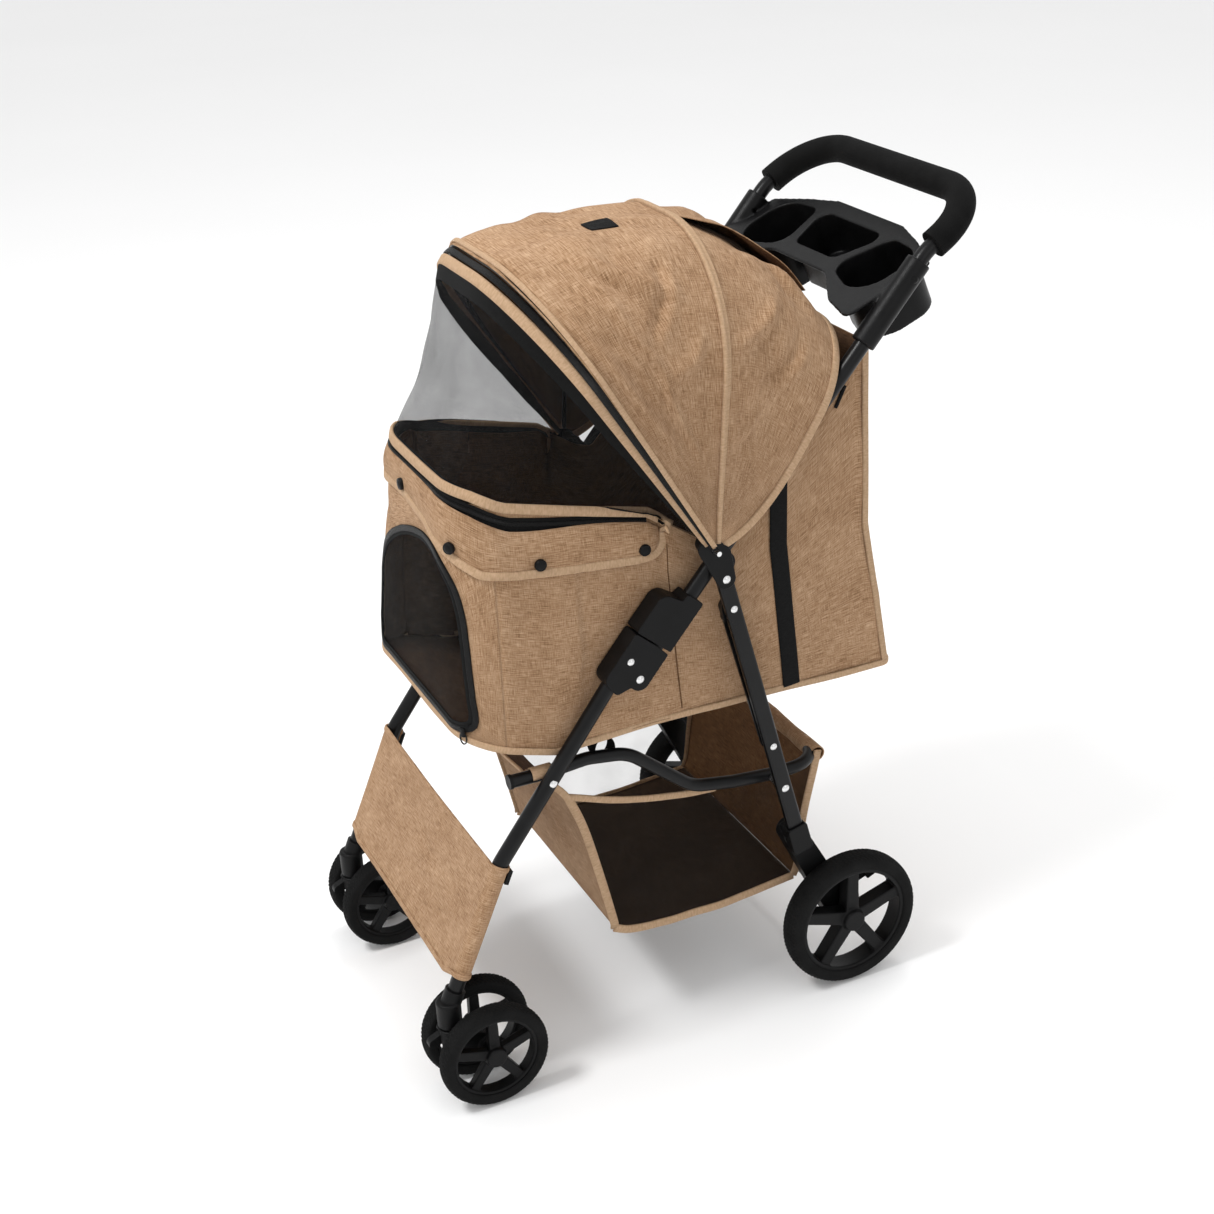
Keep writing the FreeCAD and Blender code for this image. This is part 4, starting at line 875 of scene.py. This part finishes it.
def bow_point(bow, t, out):
    """Point and outward way on a bow's U, t from its near foot (0) to its far one (1).

    The last of a bow's sizes swings its feet back, and its far shoulder hangs rounder than the near one.
    """
    angle, high, half, radius, sweep = bow
    near = t <= 0.5
    if not near:
        radius = min(half - 8, radius + 70)
    s = t if near else 1 - t
    rise, arc, flat = high - radius - FOOT, radius * math.pi / 2, half - radius
    run = s * 2 * (rise + arc + flat)
    if run <= rise:
        u, v, nu, nv = half, FOOT + run, 1, 0
    elif run <= rise + arc:
        turn = (run - rise) / radius
        nu, nv = math.cos(turn), math.sin(turn)
        u, v = half - radius + radius * nu, high - radius + radius * nv
    else:
        u, v, nu, nv = half - radius - (run - rise - arc), high, 0, 1
    if not near:
        ease = min(1, u / 110)
        v -= FAR_DROP * ease * ease * (3 - 2 * ease) * min(1, v / 150) ** 2
    u, v = u + nu * out, v + nv * out
    lean = math.radians(angle - sweep * math.exp(-v / 115))
    way = 1 if near else -1

    def place(across, along):
        return Vector((way * across, along * math.cos(lean), along * math.sin(lean)))
    return place(u, v) + Vector((0, PIVOT_Y, PIVOT_Z)), place(nu, nv)


FRONT_EDGE = (FRONT_BOW[0] + 0.3,) + FRONT_BOW[1:]
FOLDS = {"front": [(0.28, 0.30, 0.62, 0.36, 4.5, 9), (0.30, 0.33, 0.50, 0.26, -4.0, 8), (0.52, 0.22, 0.66, 0.31, 3.5, 8),
                   (0.18, 0.24, 0.42, 0.21, 3.5, 9), (0.60, 0.14, 0.80, 0.27, -3.5, 11), (0.82, 0.20, 0.93, 0.40, 3.0, 9),
                   (0.40, 0.12, 0.55, 0.20, 3.0, 9), (0.30, 0.62, 0.60, 0.70, 4.0, 10), (0.50, 0.80, 0.75, 0.68, -3.5, 11)],
         "rear": [(0.55, 0.30, 0.85, 0.24, 4.0, 9), (0.35, 0.27, 0.62, 0.20, -3.5, 10), (0.62, 0.16, 0.88, 0.13, 3.0, 9),
                  (0.20, 0.34, 0.46, 0.38, 3.5, 10), (0.40, 0.66, 0.80, 0.74, 4.0, 11)]}


def drawn_folds(span, f, t):
    """Height of the creases left in a span by folding, each along a short slanting line."""
    place = Vector((f * 230, t * 980))
    height = 0
    for f0, t0, f1, t1, depth, width in FOLDS[span]:
        start, end = Vector((f0 * 230, t0 * 980)), Vector((f1 * 230, t1 * 980))
        run = end - start
        along = (place - start).dot(run) / run.dot(run)
        bend = 9 * math.sin(math.pi * min(1, max(0, along)))
        side = (place.x - start.x) * run.y / run.length - (place.y - start.y) * run.x / run.length - bend
        fade = min(1, max(0, along + 0.25) / 0.4) * min(1, max(0, 1.25 - along) / 0.4)
        height += depth * fade * (math.exp(-(side / width) ** 2) - 0.5 * math.exp(-((side - 1.8 * width) / width) ** 2))
    return height


SPANS = {"front": (MID_BOW, FRONT_EDGE, 7, 21), "rear": (REAR_EDGE, MID_BOW, 5, 31)}


def canopy_point(span, f, t, lift=0.0):
    """Point and outward way of a canopy span: f from one bow to the next, sagging and creased between."""
    bow_a, bow_b, sag, seed = SPANS[span]
    rest, way = bow_point(bow_mix(bow_a, bow_b, f), t, CLOTH_OUT)
    slack = math.sin(math.pi * f)
    foot = min(1, 2 * min(t, 1 - t) / 0.35)
    slant = Vector((rest.x, rest.y * 0.8 + rest.z * 0.5, rest.z * 0.6 - rest.y * 0.3))
    folds = creases(slant, 74, 8.0, seed) + creases(slant, 36, 2.2, seed + 3) + ripple(rest, 120, 5.0, seed + 5)
    stand = -sag * slack * foot + folds * foot * (0.2 + 0.8 * slack) * min(1, 4 * slack + 0.08)
    stand += 1.6 * drawn_folds(span, f, t) * min(1, 3 * slack)
    return rest + way * (stand + lift), way


def canopy_cloth(span, columns, rows):
    """Grid of cloth drawn from one bow to the next."""
    return [[canopy_point(span, f, t)[0] for t in even(0, 1, rows)] for f in even(0, 1, columns)]


def away_from_pivot(point):
    return Vector((point.x, point.y - PIVOT_Y, point.z - PIVOT_Z))


BLEND_REACH = 190


def blend_across(obj):
    """Bakes a canopy cloth's transform into its mesh."""
    def at(angle):
        lean = math.radians(angle)
        return (0, (PIVOT_Y + BLEND_REACH * math.cos(lean)) * MM, (PIVOT_Z + BLEND_REACH * math.sin(lean)) * MM)
    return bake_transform(obj)


def bow_tape(name, bow, width, thick, material, out, count=150, start=0.0, end=1.0, tilt=0.0):
    """Tape along a bow's U. tilt turns its width from across the bow towards standing off it."""
    path, across = [], []
    angle = math.radians(bow[0])
    forward = Vector((0, -math.sin(angle), math.cos(angle)))
    for t in even(start, end, count):
        point, way = bow_point(bow, t, out)
        path.append(point)
        across.append(forward * math.cos(tilt) + way * math.sin(tilt))
    return tape(name, path, across, width, thick, material)


def canopy():
    """Canopy in two spans, with its bindings, zip, piping, patch, flap and mesh window."""
    front, rear = [sheet_piece(f"canopy_{span}_span", [canopy_cloth(span, 56, 150)], [TAN, LINING], 1.2, True,
                               away_from_pivot) for span in ("front", "rear")]
    for piece, name, node in ((front, "front", "canopy_front_cloth"), (rear, "rear", "canopy_rear_cloth")):
        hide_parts(node)
    blend_across(front)
    blend_across(rear)
    canopy_trim()
    canopy_window()


def canopy_trim():
    """Tapes, zip, piping, patch and top flap of the canopy."""
    zip_bow = (FRONT_BOW[0] + 1.3, FRONT_BOW[1] - 1, FRONT_BOW[2] - 2, FRONT_BOW[3], 0)
    rim_bow = (FRONT_BOW[0] + 3.0, FRONT_BOW[1] - 6, FRONT_BOW[2] - 11, FRONT_BOW[3], 0)
    pieces = [(bow_tape("canopy_front_hem", (FRONT_BOW[0] - 0.6,) + FRONT_BOW[1:], 6, 3.4, BINDING, 4.0),
               "canopy_front", "tan_cloth"),
              (bow_tape("canopy_zip", zip_bow, 8, 3, ZIP, 1.4), "canopy_front", "black_plastic"),
              (bow_tape("canopy_front_rim", rim_bow, 13, 4.6, BINDING, 3.2, tilt=-0.35), "canopy_front", "tan_cloth"),
              (bow_tape("canopy_piping", MID_BOW, 5.5, 5.0, BINDING, 4.6), "canopy_mid", "tan_cloth"),
              (bow_tape("canopy_piping_seam", (MID_BOW[0] - 1.0,) + MID_BOW[1:], 6, 1.8, BINDING, 3.8),
               "canopy_mid", "tan_cloth"),
              (bow_tape("canopy_rear_hem", REAR_EDGE, 10, 3.6, BINDING, 3.6), "root", "tan_cloth")]
    for name, bow, node in (("front", FRONT_BOW, "canopy_front_bow"), ("mid", MID_BOW, "canopy_mid_bow")):
        wire = bow_tape(f"{name}_bow_wire", bow, 5, 5, COAT, 0)
        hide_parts(node)
        pieces.append((wire, f"canopy_{name}", "black_frame"))
    for piece, body, slot in pieces:
        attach(piece, body)
    patch_rows = [[canopy_point("front", 0.40 + 0.0056 * a, 0.428 - 0.00112 * b, 1.6)[0]
                   for b in even(-13, 13, 12)] for a in even(-13, 13, 12)]
    patch = sheet_piece("canopy_patch", [patch_rows], [WEBBING], 2.0, False, away_from_pivot)
    blend_across(patch)
    top_flap()


def top_flap():
    """Loose cloth flap on the canopy's rear half, over a slit of dark net."""
    def point(across, share, lift):
        bow = bow_mix(MID_BOW, REAR_EDGE, share)
        t = 0.5 - across / (2 * (bow[2] + bow[1] - bow[3] * 0.43 - FOOT))
        return canopy_point("rear", 1 - share, t, lift)[0]
    rows = []
    for share in even(0.06, 0.93, 30):
        row = []
        for across in even(-84, 84, 40):
            edge = abs(across) / 84
            curl = 9 * edge ** 4 + 8 * max(0, share - 0.7) / 0.23 * (0.5 + 0.5 * math.cos(across / 26))
            swell = 7 + 4 * math.sin(math.pi * share) + ripple((across, share * 200, 0), 50, 2.0, 41)
            row.append(point(across, share, swell * (0.25 + 0.75 * min(1, (share - 0.06) / 0.2)) + curl * 0.7))
        rows.append(row)
    flap = sheet_piece("canopy_top_flap", [rows], [TAN, LINING], 1.2, True, away_from_pivot)
    blend_across(flap)
    slit = [[point(across, share, 1.6) for across in even(-74, 74, 24)] for share in even(0.14, 0.86, 16)]
    net = sheet_piece("canopy_top_net", [slit], [DARK_CLOTH], 0.8, False, away_from_pivot)
    blend_across(net)


def canopy_window():
    """Net from the canopy's front rim down to the cabin's rim, with black edge tapes."""
    top = (FRONT_BOW[0] + 4.6, FRONT_BOW[1] - 9, FRONT_BOW[2] - 14, FRONT_BOW[3], 0)
    rows = []
    steps = 30
    count = 120
    for i in range(steps):
        f = i / (steps - 1)
        row = []
        for t in even(0, 1, count):
            start, way = bow_point(top, t, 0)
            w = (1 - 2 * t) * WINDOW_END
            low = wall_point(w, wall_top(w) - 2, -1.5, 1)
            place = start.lerp(low, f)
            pull = math.sin(math.pi * f) * min(1, 2 * min(t, 1 - t) / 0.2)
            folds = creases((place.x * 0.9, place.y, place.z * 0.8), 60, 5.0, 51)
            row.append(place + way * (-9 * pull + folds * pull))
        rows.append(row)
    net = sheet_piece("canopy_net", [rows], [NET], 0, False, away_from_pivot)
    edge = tape("net_top_tape", rows[0], [q - p for p, q in zip(rows[0], rows[2])], 22, 1.2, WEBBING)
    foot = tape("net_low_tape", rows[-1], [q - p for p, q in zip(rows[-3], rows[-1])], 15, 1.4, WEBBING)
    for piece, slot in ((net, "black_mesh"), (edge, "black_plastic"), (foot, "black_plastic")):
        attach(piece, "canopy_front")
        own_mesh(piece)
    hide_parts("canopy_window")


WINDOW_END = 415


# ------------------------------------------------------------------- basket

def basket_point(x, y, z):
    return Vector((x, y, z))


BASKET_HALF = 152
BASKET_FRONT = [(-226, 402), (-196, 378), (-173, 350), (-155, 300), (-137, 224), (-121, 146)]
BASKET_REAR = [(173, 312), (167, 288), (150, 222), (141, 160), (134, 142)]
BASKET_BRIM = [(-173, 352), (-104, 327), (-40, 313), (2, 307), (60, 305), (120, 310), (170, 316)]
BASKET_FLOOR = [(-121, 146), (-100, 137), (-60, 132), (0, 131), (60, 133), (134, 140)]


def basket():
    """Cloth basket: tan ends, net sides, dark floor, bindings, and sleeves round its tube."""
    made = []

    def panel(name, rows, materials, slot, flat, way, lining, area=None):
        piece = sheet_piece(name, [rows], materials, 1.1 if lining else 0, lining, way)
        made.append(piece)
        return piece

    front_line = smooth([(0, y, z) for y, z in BASKET_FRONT], 40)
    rear_line = smooth([(0, y, z) for y, z in BASKET_REAR], 34)
    floor_line = smooth([(0, y, z) for y, z in BASKET_FLOOR], 44)
    brim = smooth([(0, y, z) for y, z in BASKET_BRIM], 44)

    def end_panel(line, seed, sway):
        rows = []
        for i, p in enumerate(line):
            f = i / (len(line) - 1)
            row = []
            for x in even(-BASKET_HALF, BASKET_HALF, 44):
                mid = math.cos(x / BASKET_HALF * math.pi / 2)
                sag = -14 * mid * (1 - f) ** 3
                spot = Vector((x, p.y, p.z))
                folds = creases((x, p.y * 0.6, p.z * 0.5), 60, 4.0, seed) * mid * math.sin(math.pi * f)
                row.append(spot + Vector((0, sway * 6 * mid * math.sin(math.pi * f) + folds, sag)))
            rows.append(row)
        return rows

    front_rows = end_panel(front_line, 61, -1)
    rear_rows = end_panel(rear_line, 62, 1)
    panel("basket_front", front_rows, [TAN, LINING], "tan_cloth", (0.304, 0.285), lambda p: Vector((0, -1, -0.4)), True)
    # The rear panel's inner face carries painted shade: a darker, redder brown stands in for the shade inside the
    # basket.
    rear = panel("basket_rear", rear_rows, [TAN, REAR_INNER_PAINTED_SHADE], "tan_cloth", (0.304, 0.18), lambda p: Vector((0, 1, -0.3)),
                 True)
    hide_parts("basket_bag")
    floor_rows = []
    for i, p in enumerate(floor_line):
        slack = math.sin(math.pi * i / (len(floor_line) - 1))
        floor_rows.append([Vector((x, p.y, p.z - slack * math.cos(x / BASKET_HALF * math.pi / 2)
                                   * (5 + ripple((x, p.y, 0), 60, 5, 63)))) for x in even(-BASKET_HALF, BASKET_HALF, 40)])
    panel("basket_floor", floor_rows, [DARK_CLOTH, DARK_CLOTH], "tan_cloth", (0.304, 0.256),
          lambda p: Vector((0, 0, -1)), True)
    low_front = smooth([(0, y, z) for y, z in BASKET_FRONT[2:]] + [(0, -121, 138)], 26)
    low_rear = smooth([(0, y, z) for y, z in BASKET_REAR], 26)
    for way, side in ((1, "l"), (-1, "r")):
        rows = []
        for i in range(26):
            f = i / 25
            left, right = low_front[i], low_rear[i]
            row = []
            for j in range(44):
                g = j / 43
                top, low = brim[j], floor_line[j]
                face = top.lerp(low, f) + left.lerp(right, g) - (
                    low_front[0].lerp(low_rear[0], g).lerp(low_front[-1].lerp(low_rear[-1], g), f))
                belly = 7 * math.sin(math.pi * f) * math.sin(math.pi * g)
                folds = creases((way * 50, face.y, face.z), 55, 1.6, 64) * math.sin(math.pi * g)
                row.append(Vector((way * (BASKET_HALF + belly + folds), face.y, face.z)))
            rows.append(row)
        panel(f"basket_net_{side}", rows, [BASKET_NET], "black_mesh", (0.30, 0.18),
              lambda p, way=way: Vector((way, 0, 0)), False)
        out = Vector((way * 1.0, 0, 0))
        edges = {"front": [r[0] for r in rows], "rear": [r[-1] for r in rows], "low": rows[-1], "brim": rows[0][:26]}
        for key, line in edges.items():
            middle = Vector((way * BASKET_HALF, 10, 235))
            across = [Vector((0, p.y - middle.y, p.z - middle.z)) for p in line]
            made.append(tape(f"basket_{key}_binding_{side}", [p + out for p in line], across,
                             11 if key != "brim" else 9, 3.2, BINDING))
        upper = [front_rows[i][-1 if way > 0 else 0] + out * 1.5 for i in range(0, 22)]
        across = [Vector((0, 0.3, 1))] * len(upper)
        made.append(tape(f"basket_ear_binding_{side}", upper, [Vector((0, 1, 0.4))] * len(upper), 9, 3, BINDING))
        made.append(tube_sleeve(f"basket_front_sleeve_{side}", way, -222, -196))
    top_edge = [p + Vector((0, -1, 1)) for p in front_rows[0]]
    made.append(tape("basket_front_top_binding", top_edge, [Vector((0, -0.5, 1))] * len(top_edge), 10, 3, BINDING))
    made.append(rear_sleeve())
    for piece in made:
        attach(piece, "basket_frame")
        if "sleeve" not in piece.name:
            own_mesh(piece)


# Inner face of the basket's rear panel and its sleeve: a brown lining, darker and redder than the tan, with the shade
# inside the basket painted into its colour.
REAR_INNER_PAINTED_SHADE = melange_cloth("brown_inner_painted_shade", (0.10, 0.045, 0.016), (0.20, 0.095, 0.038), (0.30, 0.16, 0.07))
TUBE_X, TUBE_R = 163, 8


def tube_sleeve(name, way, start, end):
    """Cloth loop round the side run of the basket tube, drawn down into the front panel."""
    rows = []
    for y in even(start, end, 10):
        z = 401.5
        ring = [Vector((way * TUBE_X + (TUBE_R + 1.6) * math.cos(a), y, z + (TUBE_R + 1.6) * math.sin(a)))
                for a in even(-0.2, 2 * math.pi - 1.0, 26)]
        rows.append(ring)
    centre = Vector((way * TUBE_X, (start + end) / 2, 401))
    piece = sheet_piece(name, [rows], [BINDING], 1.4, False, lambda p: p - centre)
    return piece


def rear_sleeve():
    """Cloth sleeve of the rear panel, wrapped over the basket tube's cross run."""
    low, high = box_mm("basket_tube")
    y, z = high.y - TUBE_R, low.z + TUBE_R
    z = 309
    rows = []
    for x in even(-150, 150, 60):
        bulge = 0.8 * math.sin(x / 17) + ripple((x, 0, 0), 30, 1.2, 71)
        rows.append([Vector((x, y + (TUBE_R + 2.2 + bulge) * math.cos(a), z + (TUBE_R + 2.2 + bulge * 0.5) * math.sin(a)))
                     for a in even(-1.4, math.pi + 1.5, 30)])
    # The sleeve's inner face carries the same brown with painted shade.
    piece = sheet_piece("basket_rear_sleeve", [rows], [TAN, REAR_INNER_PAINTED_SHADE], 1.4, True,
                        lambda p: Vector((0, p.y - y, p.z - z)))
    return piece


# ------------------------------------------------------- leg panel and the mat

def leg_panel():
    """Stretched cloth between the front legs, wrapped round both and clipped behind."""
    low, high = box_mm("leg_panel")
    foot, knee = Vector((0, -354, 130)), Vector((0, -275, 308))
    run = unit(knee - foot)
    ahead = Vector((0, -run.z, run.y))
    leg_x, wrap = 182, 11.3
    span = [(leg_x + wrap * math.cos(a), wrap * math.sin(a)) for a in even(-1.9, math.pi / 2, 16)]
    flat = [(x, wrap - 0.6) for x in even(leg_x - 6, -leg_x + 6, 60)]
    other = [(-x, d) for x, d in reversed(span)]
    rows = []
    length = (knee - foot).length
    low_at, high_at = 0.20 * length, 0.985 * length
    for s in even(low_at, high_at, 46):
        f = (s - low_at) / (high_at - low_at)
        row = []
        for x, d in span + flat + other:
            mid = math.cos(x / (leg_x + 12) * math.pi / 2)
            inside = max(0, 1 - abs(x) / leg_x)
            hollow = -5 * mid * math.sin(math.pi * min(1, max(0, f)))
            folds = creases((x * 0.45 + s * 0.5, s * 1.1, 0), 75, 2.0, 81) * mid * (0.3 + math.sin(math.pi * f))
            taper = 9 * (1 - min(1, f / 0.12)) ** 2 * (1 - min(1, inside * 8))
            row.append(foot + run * (s + taper + 2.0 * mid * (2 * f - 1) * -1) + Vector((x, 0, 0))
                       + ahead * (d + (hollow + folds) * (1 if d > 0 else 0)))
        rows.append(row)
    panel = sheet_piece("leg_panel_cloth", [rows], [TAN, LINING], 1.4, True, lambda p: Vector((p.x * 0.002, -1, 0.4)))
    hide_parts("leg_panel")
    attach(panel, "front_frame")
    for name, row in (("low", rows[0]), ("high", rows[-1])):
        hem = tape(f"leg_panel_hem_{name}", [p for p in row], [run] * len(row), 7, 2.8, TAN)
        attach(hem, "front_frame")


def pet_mat():
    """Padded mat on the base board: swelled by simulation, then piped round its edge."""
    low, high = box_mm("pet_mat")
    size, middle = (high - low) * MM, (high + low) / 2 * MM
    edit = bmesh.new()
    bmesh.ops.create_cube(edit, size=1)
    bmesh.ops.scale(edit, vec=(size.x * 0.97, size.y * 0.97, size.z * 0.55), verts=edit.verts)
    bmesh.ops.translate(edit, vec=middle - Vector((0, 0, size.z * 0.1)), verts=edit.verts)
    bmesh.ops.bevel(edit, geom=edit.edges[:], offset=0.004, segments=2, affect="EDGES")
    mesh = bpy.data.meshes.new("mat_pad")
    edit.to_mesh(mesh)
    edit.free()
    mat = bpy.data.objects.new("mat_pad", mesh)
    bpy.context.scene.collection.objects.link(mat)
    mesh.materials.append(MAT_CLOTH)
    remesh = mat.modifiers.new("even", "REMESH")
    remesh.mode = "VOXEL"
    remesh.voxel_size = 0.006
    settle(mat)
    swell(mat, 4.0, 20, 0.005, high.z * MM)
    floor_z = low.z * MM
    for v in mat.data.vertices:
        quilt = abs(math.sin(v.co.x / 0.055 * math.pi / 2)) * abs(math.sin(v.co.y / 0.055 * math.pi / 2))
        if v.co.z > middle.z:
            v.co.z = min(v.co.z + 0.0012 * quilt - 0.0012, high.z * MM)
        v.co.z = max(v.co.z, floor_z)
    layer = mat.data.attributes.new("thread", "FLOAT_VECTOR", "POINT")
    for v, t in zip(mat.data.vertices, layer.data):
        t.vector = (v.co.x, v.co.y, 0)
    for polygon in mat.data.polygons:
        polygon.use_smooth = True
    divide = mat.modifiers.new("fine", "SUBSURF")
    divide.levels = divide.render_levels = 1
    settle(mat)
    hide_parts("pet_mat")
    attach(mat, "base")
    half, z = size / MM / 2 - Vector((2, 2, 0)), middle.z / MM - 1
    corner = 16
    corners = [(half.x - corner, half.y - corner, 0), (corner - half.x, half.y - corner, 90),
               (corner - half.x, corner - half.y, 180), (half.x - corner, corner - half.y, 270)]
    loop = [Vector((x + corner * math.cos(math.radians(a + b)), y + corner * math.sin(math.radians(a + b))
                    + middle.y / MM, z)) for x, y, a in corners for b in even(0, 90, 9)]
    cord = tape("mat_piping", smooth(loop, 260, True), [Vector((0, 0, 1))] * 260, 3.6, 3.6, BINDING, True)
    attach(cord, "base")


MAT_CLOTH = melange_cloth("mat_cloth", (0.05, 0.032, 0.022), (0.11, 0.07, 0.048), (0.19, 0.13, 0.09))


def swell(obj, pressure, frames, cap, top):
    """Blows a closed mesh up as a stuffed cloth, and caps how far each point moves."""
    scene = bpy.context.scene
    rest = [v.co.copy() for v in obj.data.vertices]
    cloth = obj.modifiers.new("cloth", "CLOTH")
    cloth.settings.use_pressure = True
    cloth.settings.uniform_pressure_force = pressure
    cloth.settings.effector_weights.gravity = 0
    cloth.settings.quality = 5
    cloth.point_cache.frame_start, cloth.point_cache.frame_end = 1, frames
    for step in range(1, frames + 1):
        scene.frame_set(step)
    settle(obj)
    for v, start in zip(obj.data.vertices, rest):
        move = v.co - start
        if move.length > cap:
            v.co = start + move * (cap / move.length)
        v.co.z = min(v.co.z, top)
    scene.frame_set(1)


# ------------------------------------------------------- wheels and mouldings

def tread_height(around, across, pitch):
    """Raised lozenges of a tyre's tread, with a groove between them."""
    a = abs(((around + across) / pitch) % 1 - 0.5)
    b = abs(((around - across) / pitch) % 1 - 0.5)
    return min(1, max(0, (min(a, b) - 0.10) / 0.10))


def tyres():
    """Foam tyres with a lozenge tread between smooth shoulders."""
    for body, nodes in frame["record"]["behaviour"]["bodies"].items():
        for node in nodes:
            if "tyre" not in node:
                continue
            low, high = box_mm(node)
            centre, width = (low + high) / 2, high.x - low.x
            radius = (high.z - low.z) / 2
            bed = radius * (0.80 if "rear" in node else 0.775)
            depth = 1.1
            turns = 420 if "rear" in node else 360
            pitch = 2 * math.pi * radius / round(2 * math.pi * radius / 6.2)
            rows = []
            sections = []
            for k in range(25):
                a = math.pi * k / 24
                u = -math.cos(a)
                s = math.sin(a)
                sections.append((u * width / 2, radius - depth * 0 - (1 - s ** 0.62) * width * 0.33, abs(u) < 0.80))
            side = width / 2 - 0.4
            sections = [(-side * 0.86, bed, False), (-side * 0.98, bed + 1.5, False), (-side, bed + 4, False)] + [
                (x, r, t) for x, r, t in sections if r > bed + 5] + [
                (side, bed + 4, False), (side * 0.98, bed + 1.5, False), (side * 0.86, bed, False)]
            for i in range(turns):
                a = 2 * math.pi * i / turns
                around = a * radius
                ring = []
                for x, r, tread in sections:
                    raised = depth * (tread_height(around, x, pitch) - 1) if tread else -0.3
                    ring.append(Vector((centre.x + x, centre.y + (r + raised) * math.cos(a),
                                        centre.z + (r + raised) * math.sin(a))))
                rows.append(ring)
            rows.append(rows[0])
            piece = sheet_piece(node + "_tread", [rows], [TYRE_FOAM], 0, False,
                                lambda p, c=centre: Vector((0, p.y - c.y, p.z - c.z)))
            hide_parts(node)
            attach(piece, body)


def soften(node, body, voxel, rounds, material):
    """Moulding with its edges rounded: the CAD shape remeshed finely and relaxed."""
    source = frame["nodes"][node]
    piece = bpy.data.objects.new(node + "_moulding", source.data.copy())
    bpy.context.scene.collection.objects.link(piece)
    piece.data.materials.clear()
    piece.data.materials.append(material)
    remesh = piece.modifiers.new("fine", "REMESH")
    remesh.mode = "VOXEL"
    remesh.voxel_size = voxel * MM
    relax = piece.modifiers.new("round", "SMOOTH")
    relax.factor = 0.5
    relax.iterations = rounds
    settle(piece)
    for polygon in piece.data.polygons:
        polygon.use_smooth = True
    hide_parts(node)
    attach(piece, body)


def mouldings():
    """Plastic mouldings, each with soft edges."""
    bodies = {node: body for body, nodes in frame["record"]["behaviour"]["bodies"].items() for node in nodes}
    plan = [("cup_tray", 1.5, 5, TRAY_PLASTIC)]
    for side in "lr":
        plan += [(f"lock_housing_{side}", 0.8, 3, PLASTIC), (f"fold_latch_{side}", 0.8, 3, PLASTIC),
                 (f"caster_fork_{side}", 0.9, 3, PLASTIC),
                 (f"axle_housing_{side}", 0.9, 3, PLASTIC),
                 (f"bracket_{side}", 0.8, 3, PLASTIC), (f"rear_rim_{side}", 1.2, 3, PLASTIC),
                 (f"front_rim_{side}_outer", 1.1, 3, PLASTIC), (f"front_rim_{side}_inner", 1.1, 3, PLASTIC)]
    for node, voxel, rounds, material in plan:
        soften(node, bodies[node], voxel, rounds, material)


# ------------------------------------------------------------------- studio

def studio():
    """Plain pale floor and backdrop, soft lights, and the camera at the picture's angle."""
    scene = bpy.context.scene
    pale = Shader("studio_white", Roughness=0.9, Specular_IOR_Level=0.1)
    pale.ramp(pale.noise("object", (0.8, 0.8, 0.8)), ((0.2, 0.93), (0.8, 0.95)))
    rows = [[Vector((x, y, 0)) for y in even(-30000, 30000, 9)] for x in even(-30000, 30000, 9)]
    points, faces, thread = grid_data(rows)
    floor = mesh_piece("studio_floor", points, faces, pale.material, thread)
    floor.location.z = -0.0004
    world = bpy.data.worlds.new("studio")
    scene.world = world
    world.use_nodes = True
    world.node_tree.nodes["Background"].inputs["Color"].default_value = (1.0, 1.0, 1.0, 1)
    world.node_tree.nodes["Background"].inputs["Strength"].default_value = 0.88
    target = Vector((0, 0, 0.5))
    for name, place, power, wide in (("key", (0.2, -2.2, 3.6), 80, 1.0), ("fill", (3.8, 0.6, 2.2), 8, 2.0),
                                     ("top", (-0.8, 1.0, 4.6), 45, 1.6)):
        light = bpy.data.objects.new(name, bpy.data.lights.new(name, "AREA"))
        light.data.energy = power
        light.data.shape = "DISK"
        light.data.size = wide
        light.location = place
        light.rotation_euler = (target - Vector(place)).to_track_quat("-Z", "Y").to_euler()
        scene.collection.objects.link(light)
    camera = bpy.data.objects.new("camera", bpy.data.cameras.new("camera"))
    right, up, back = Vector((0.4283, 0.9026, -0.0436)), Vector((-0.3824, 0.2247, 0.8962)), Vector((0.8188, -0.3671, 0.4414))
    camera.matrix_world = Matrix.Translation((1.9178, -0.9015, 1.5386)) @ Matrix((right, up, back)).transposed().to_4x4()
    camera.data.lens, camera.data.sensor_width = 56.11, 36
    scene.collection.objects.link(camera)
    scene.camera = camera
    scene.view_settings.view_transform = "Standard"


studio()
finish_cad_nodes()
mouldings()
tyres()
cabin()
canopy()
basket()
leg_panel()
pet_mat()


def corners(bounds):
    return [[float(c) for c in corner] for corner in bounds]
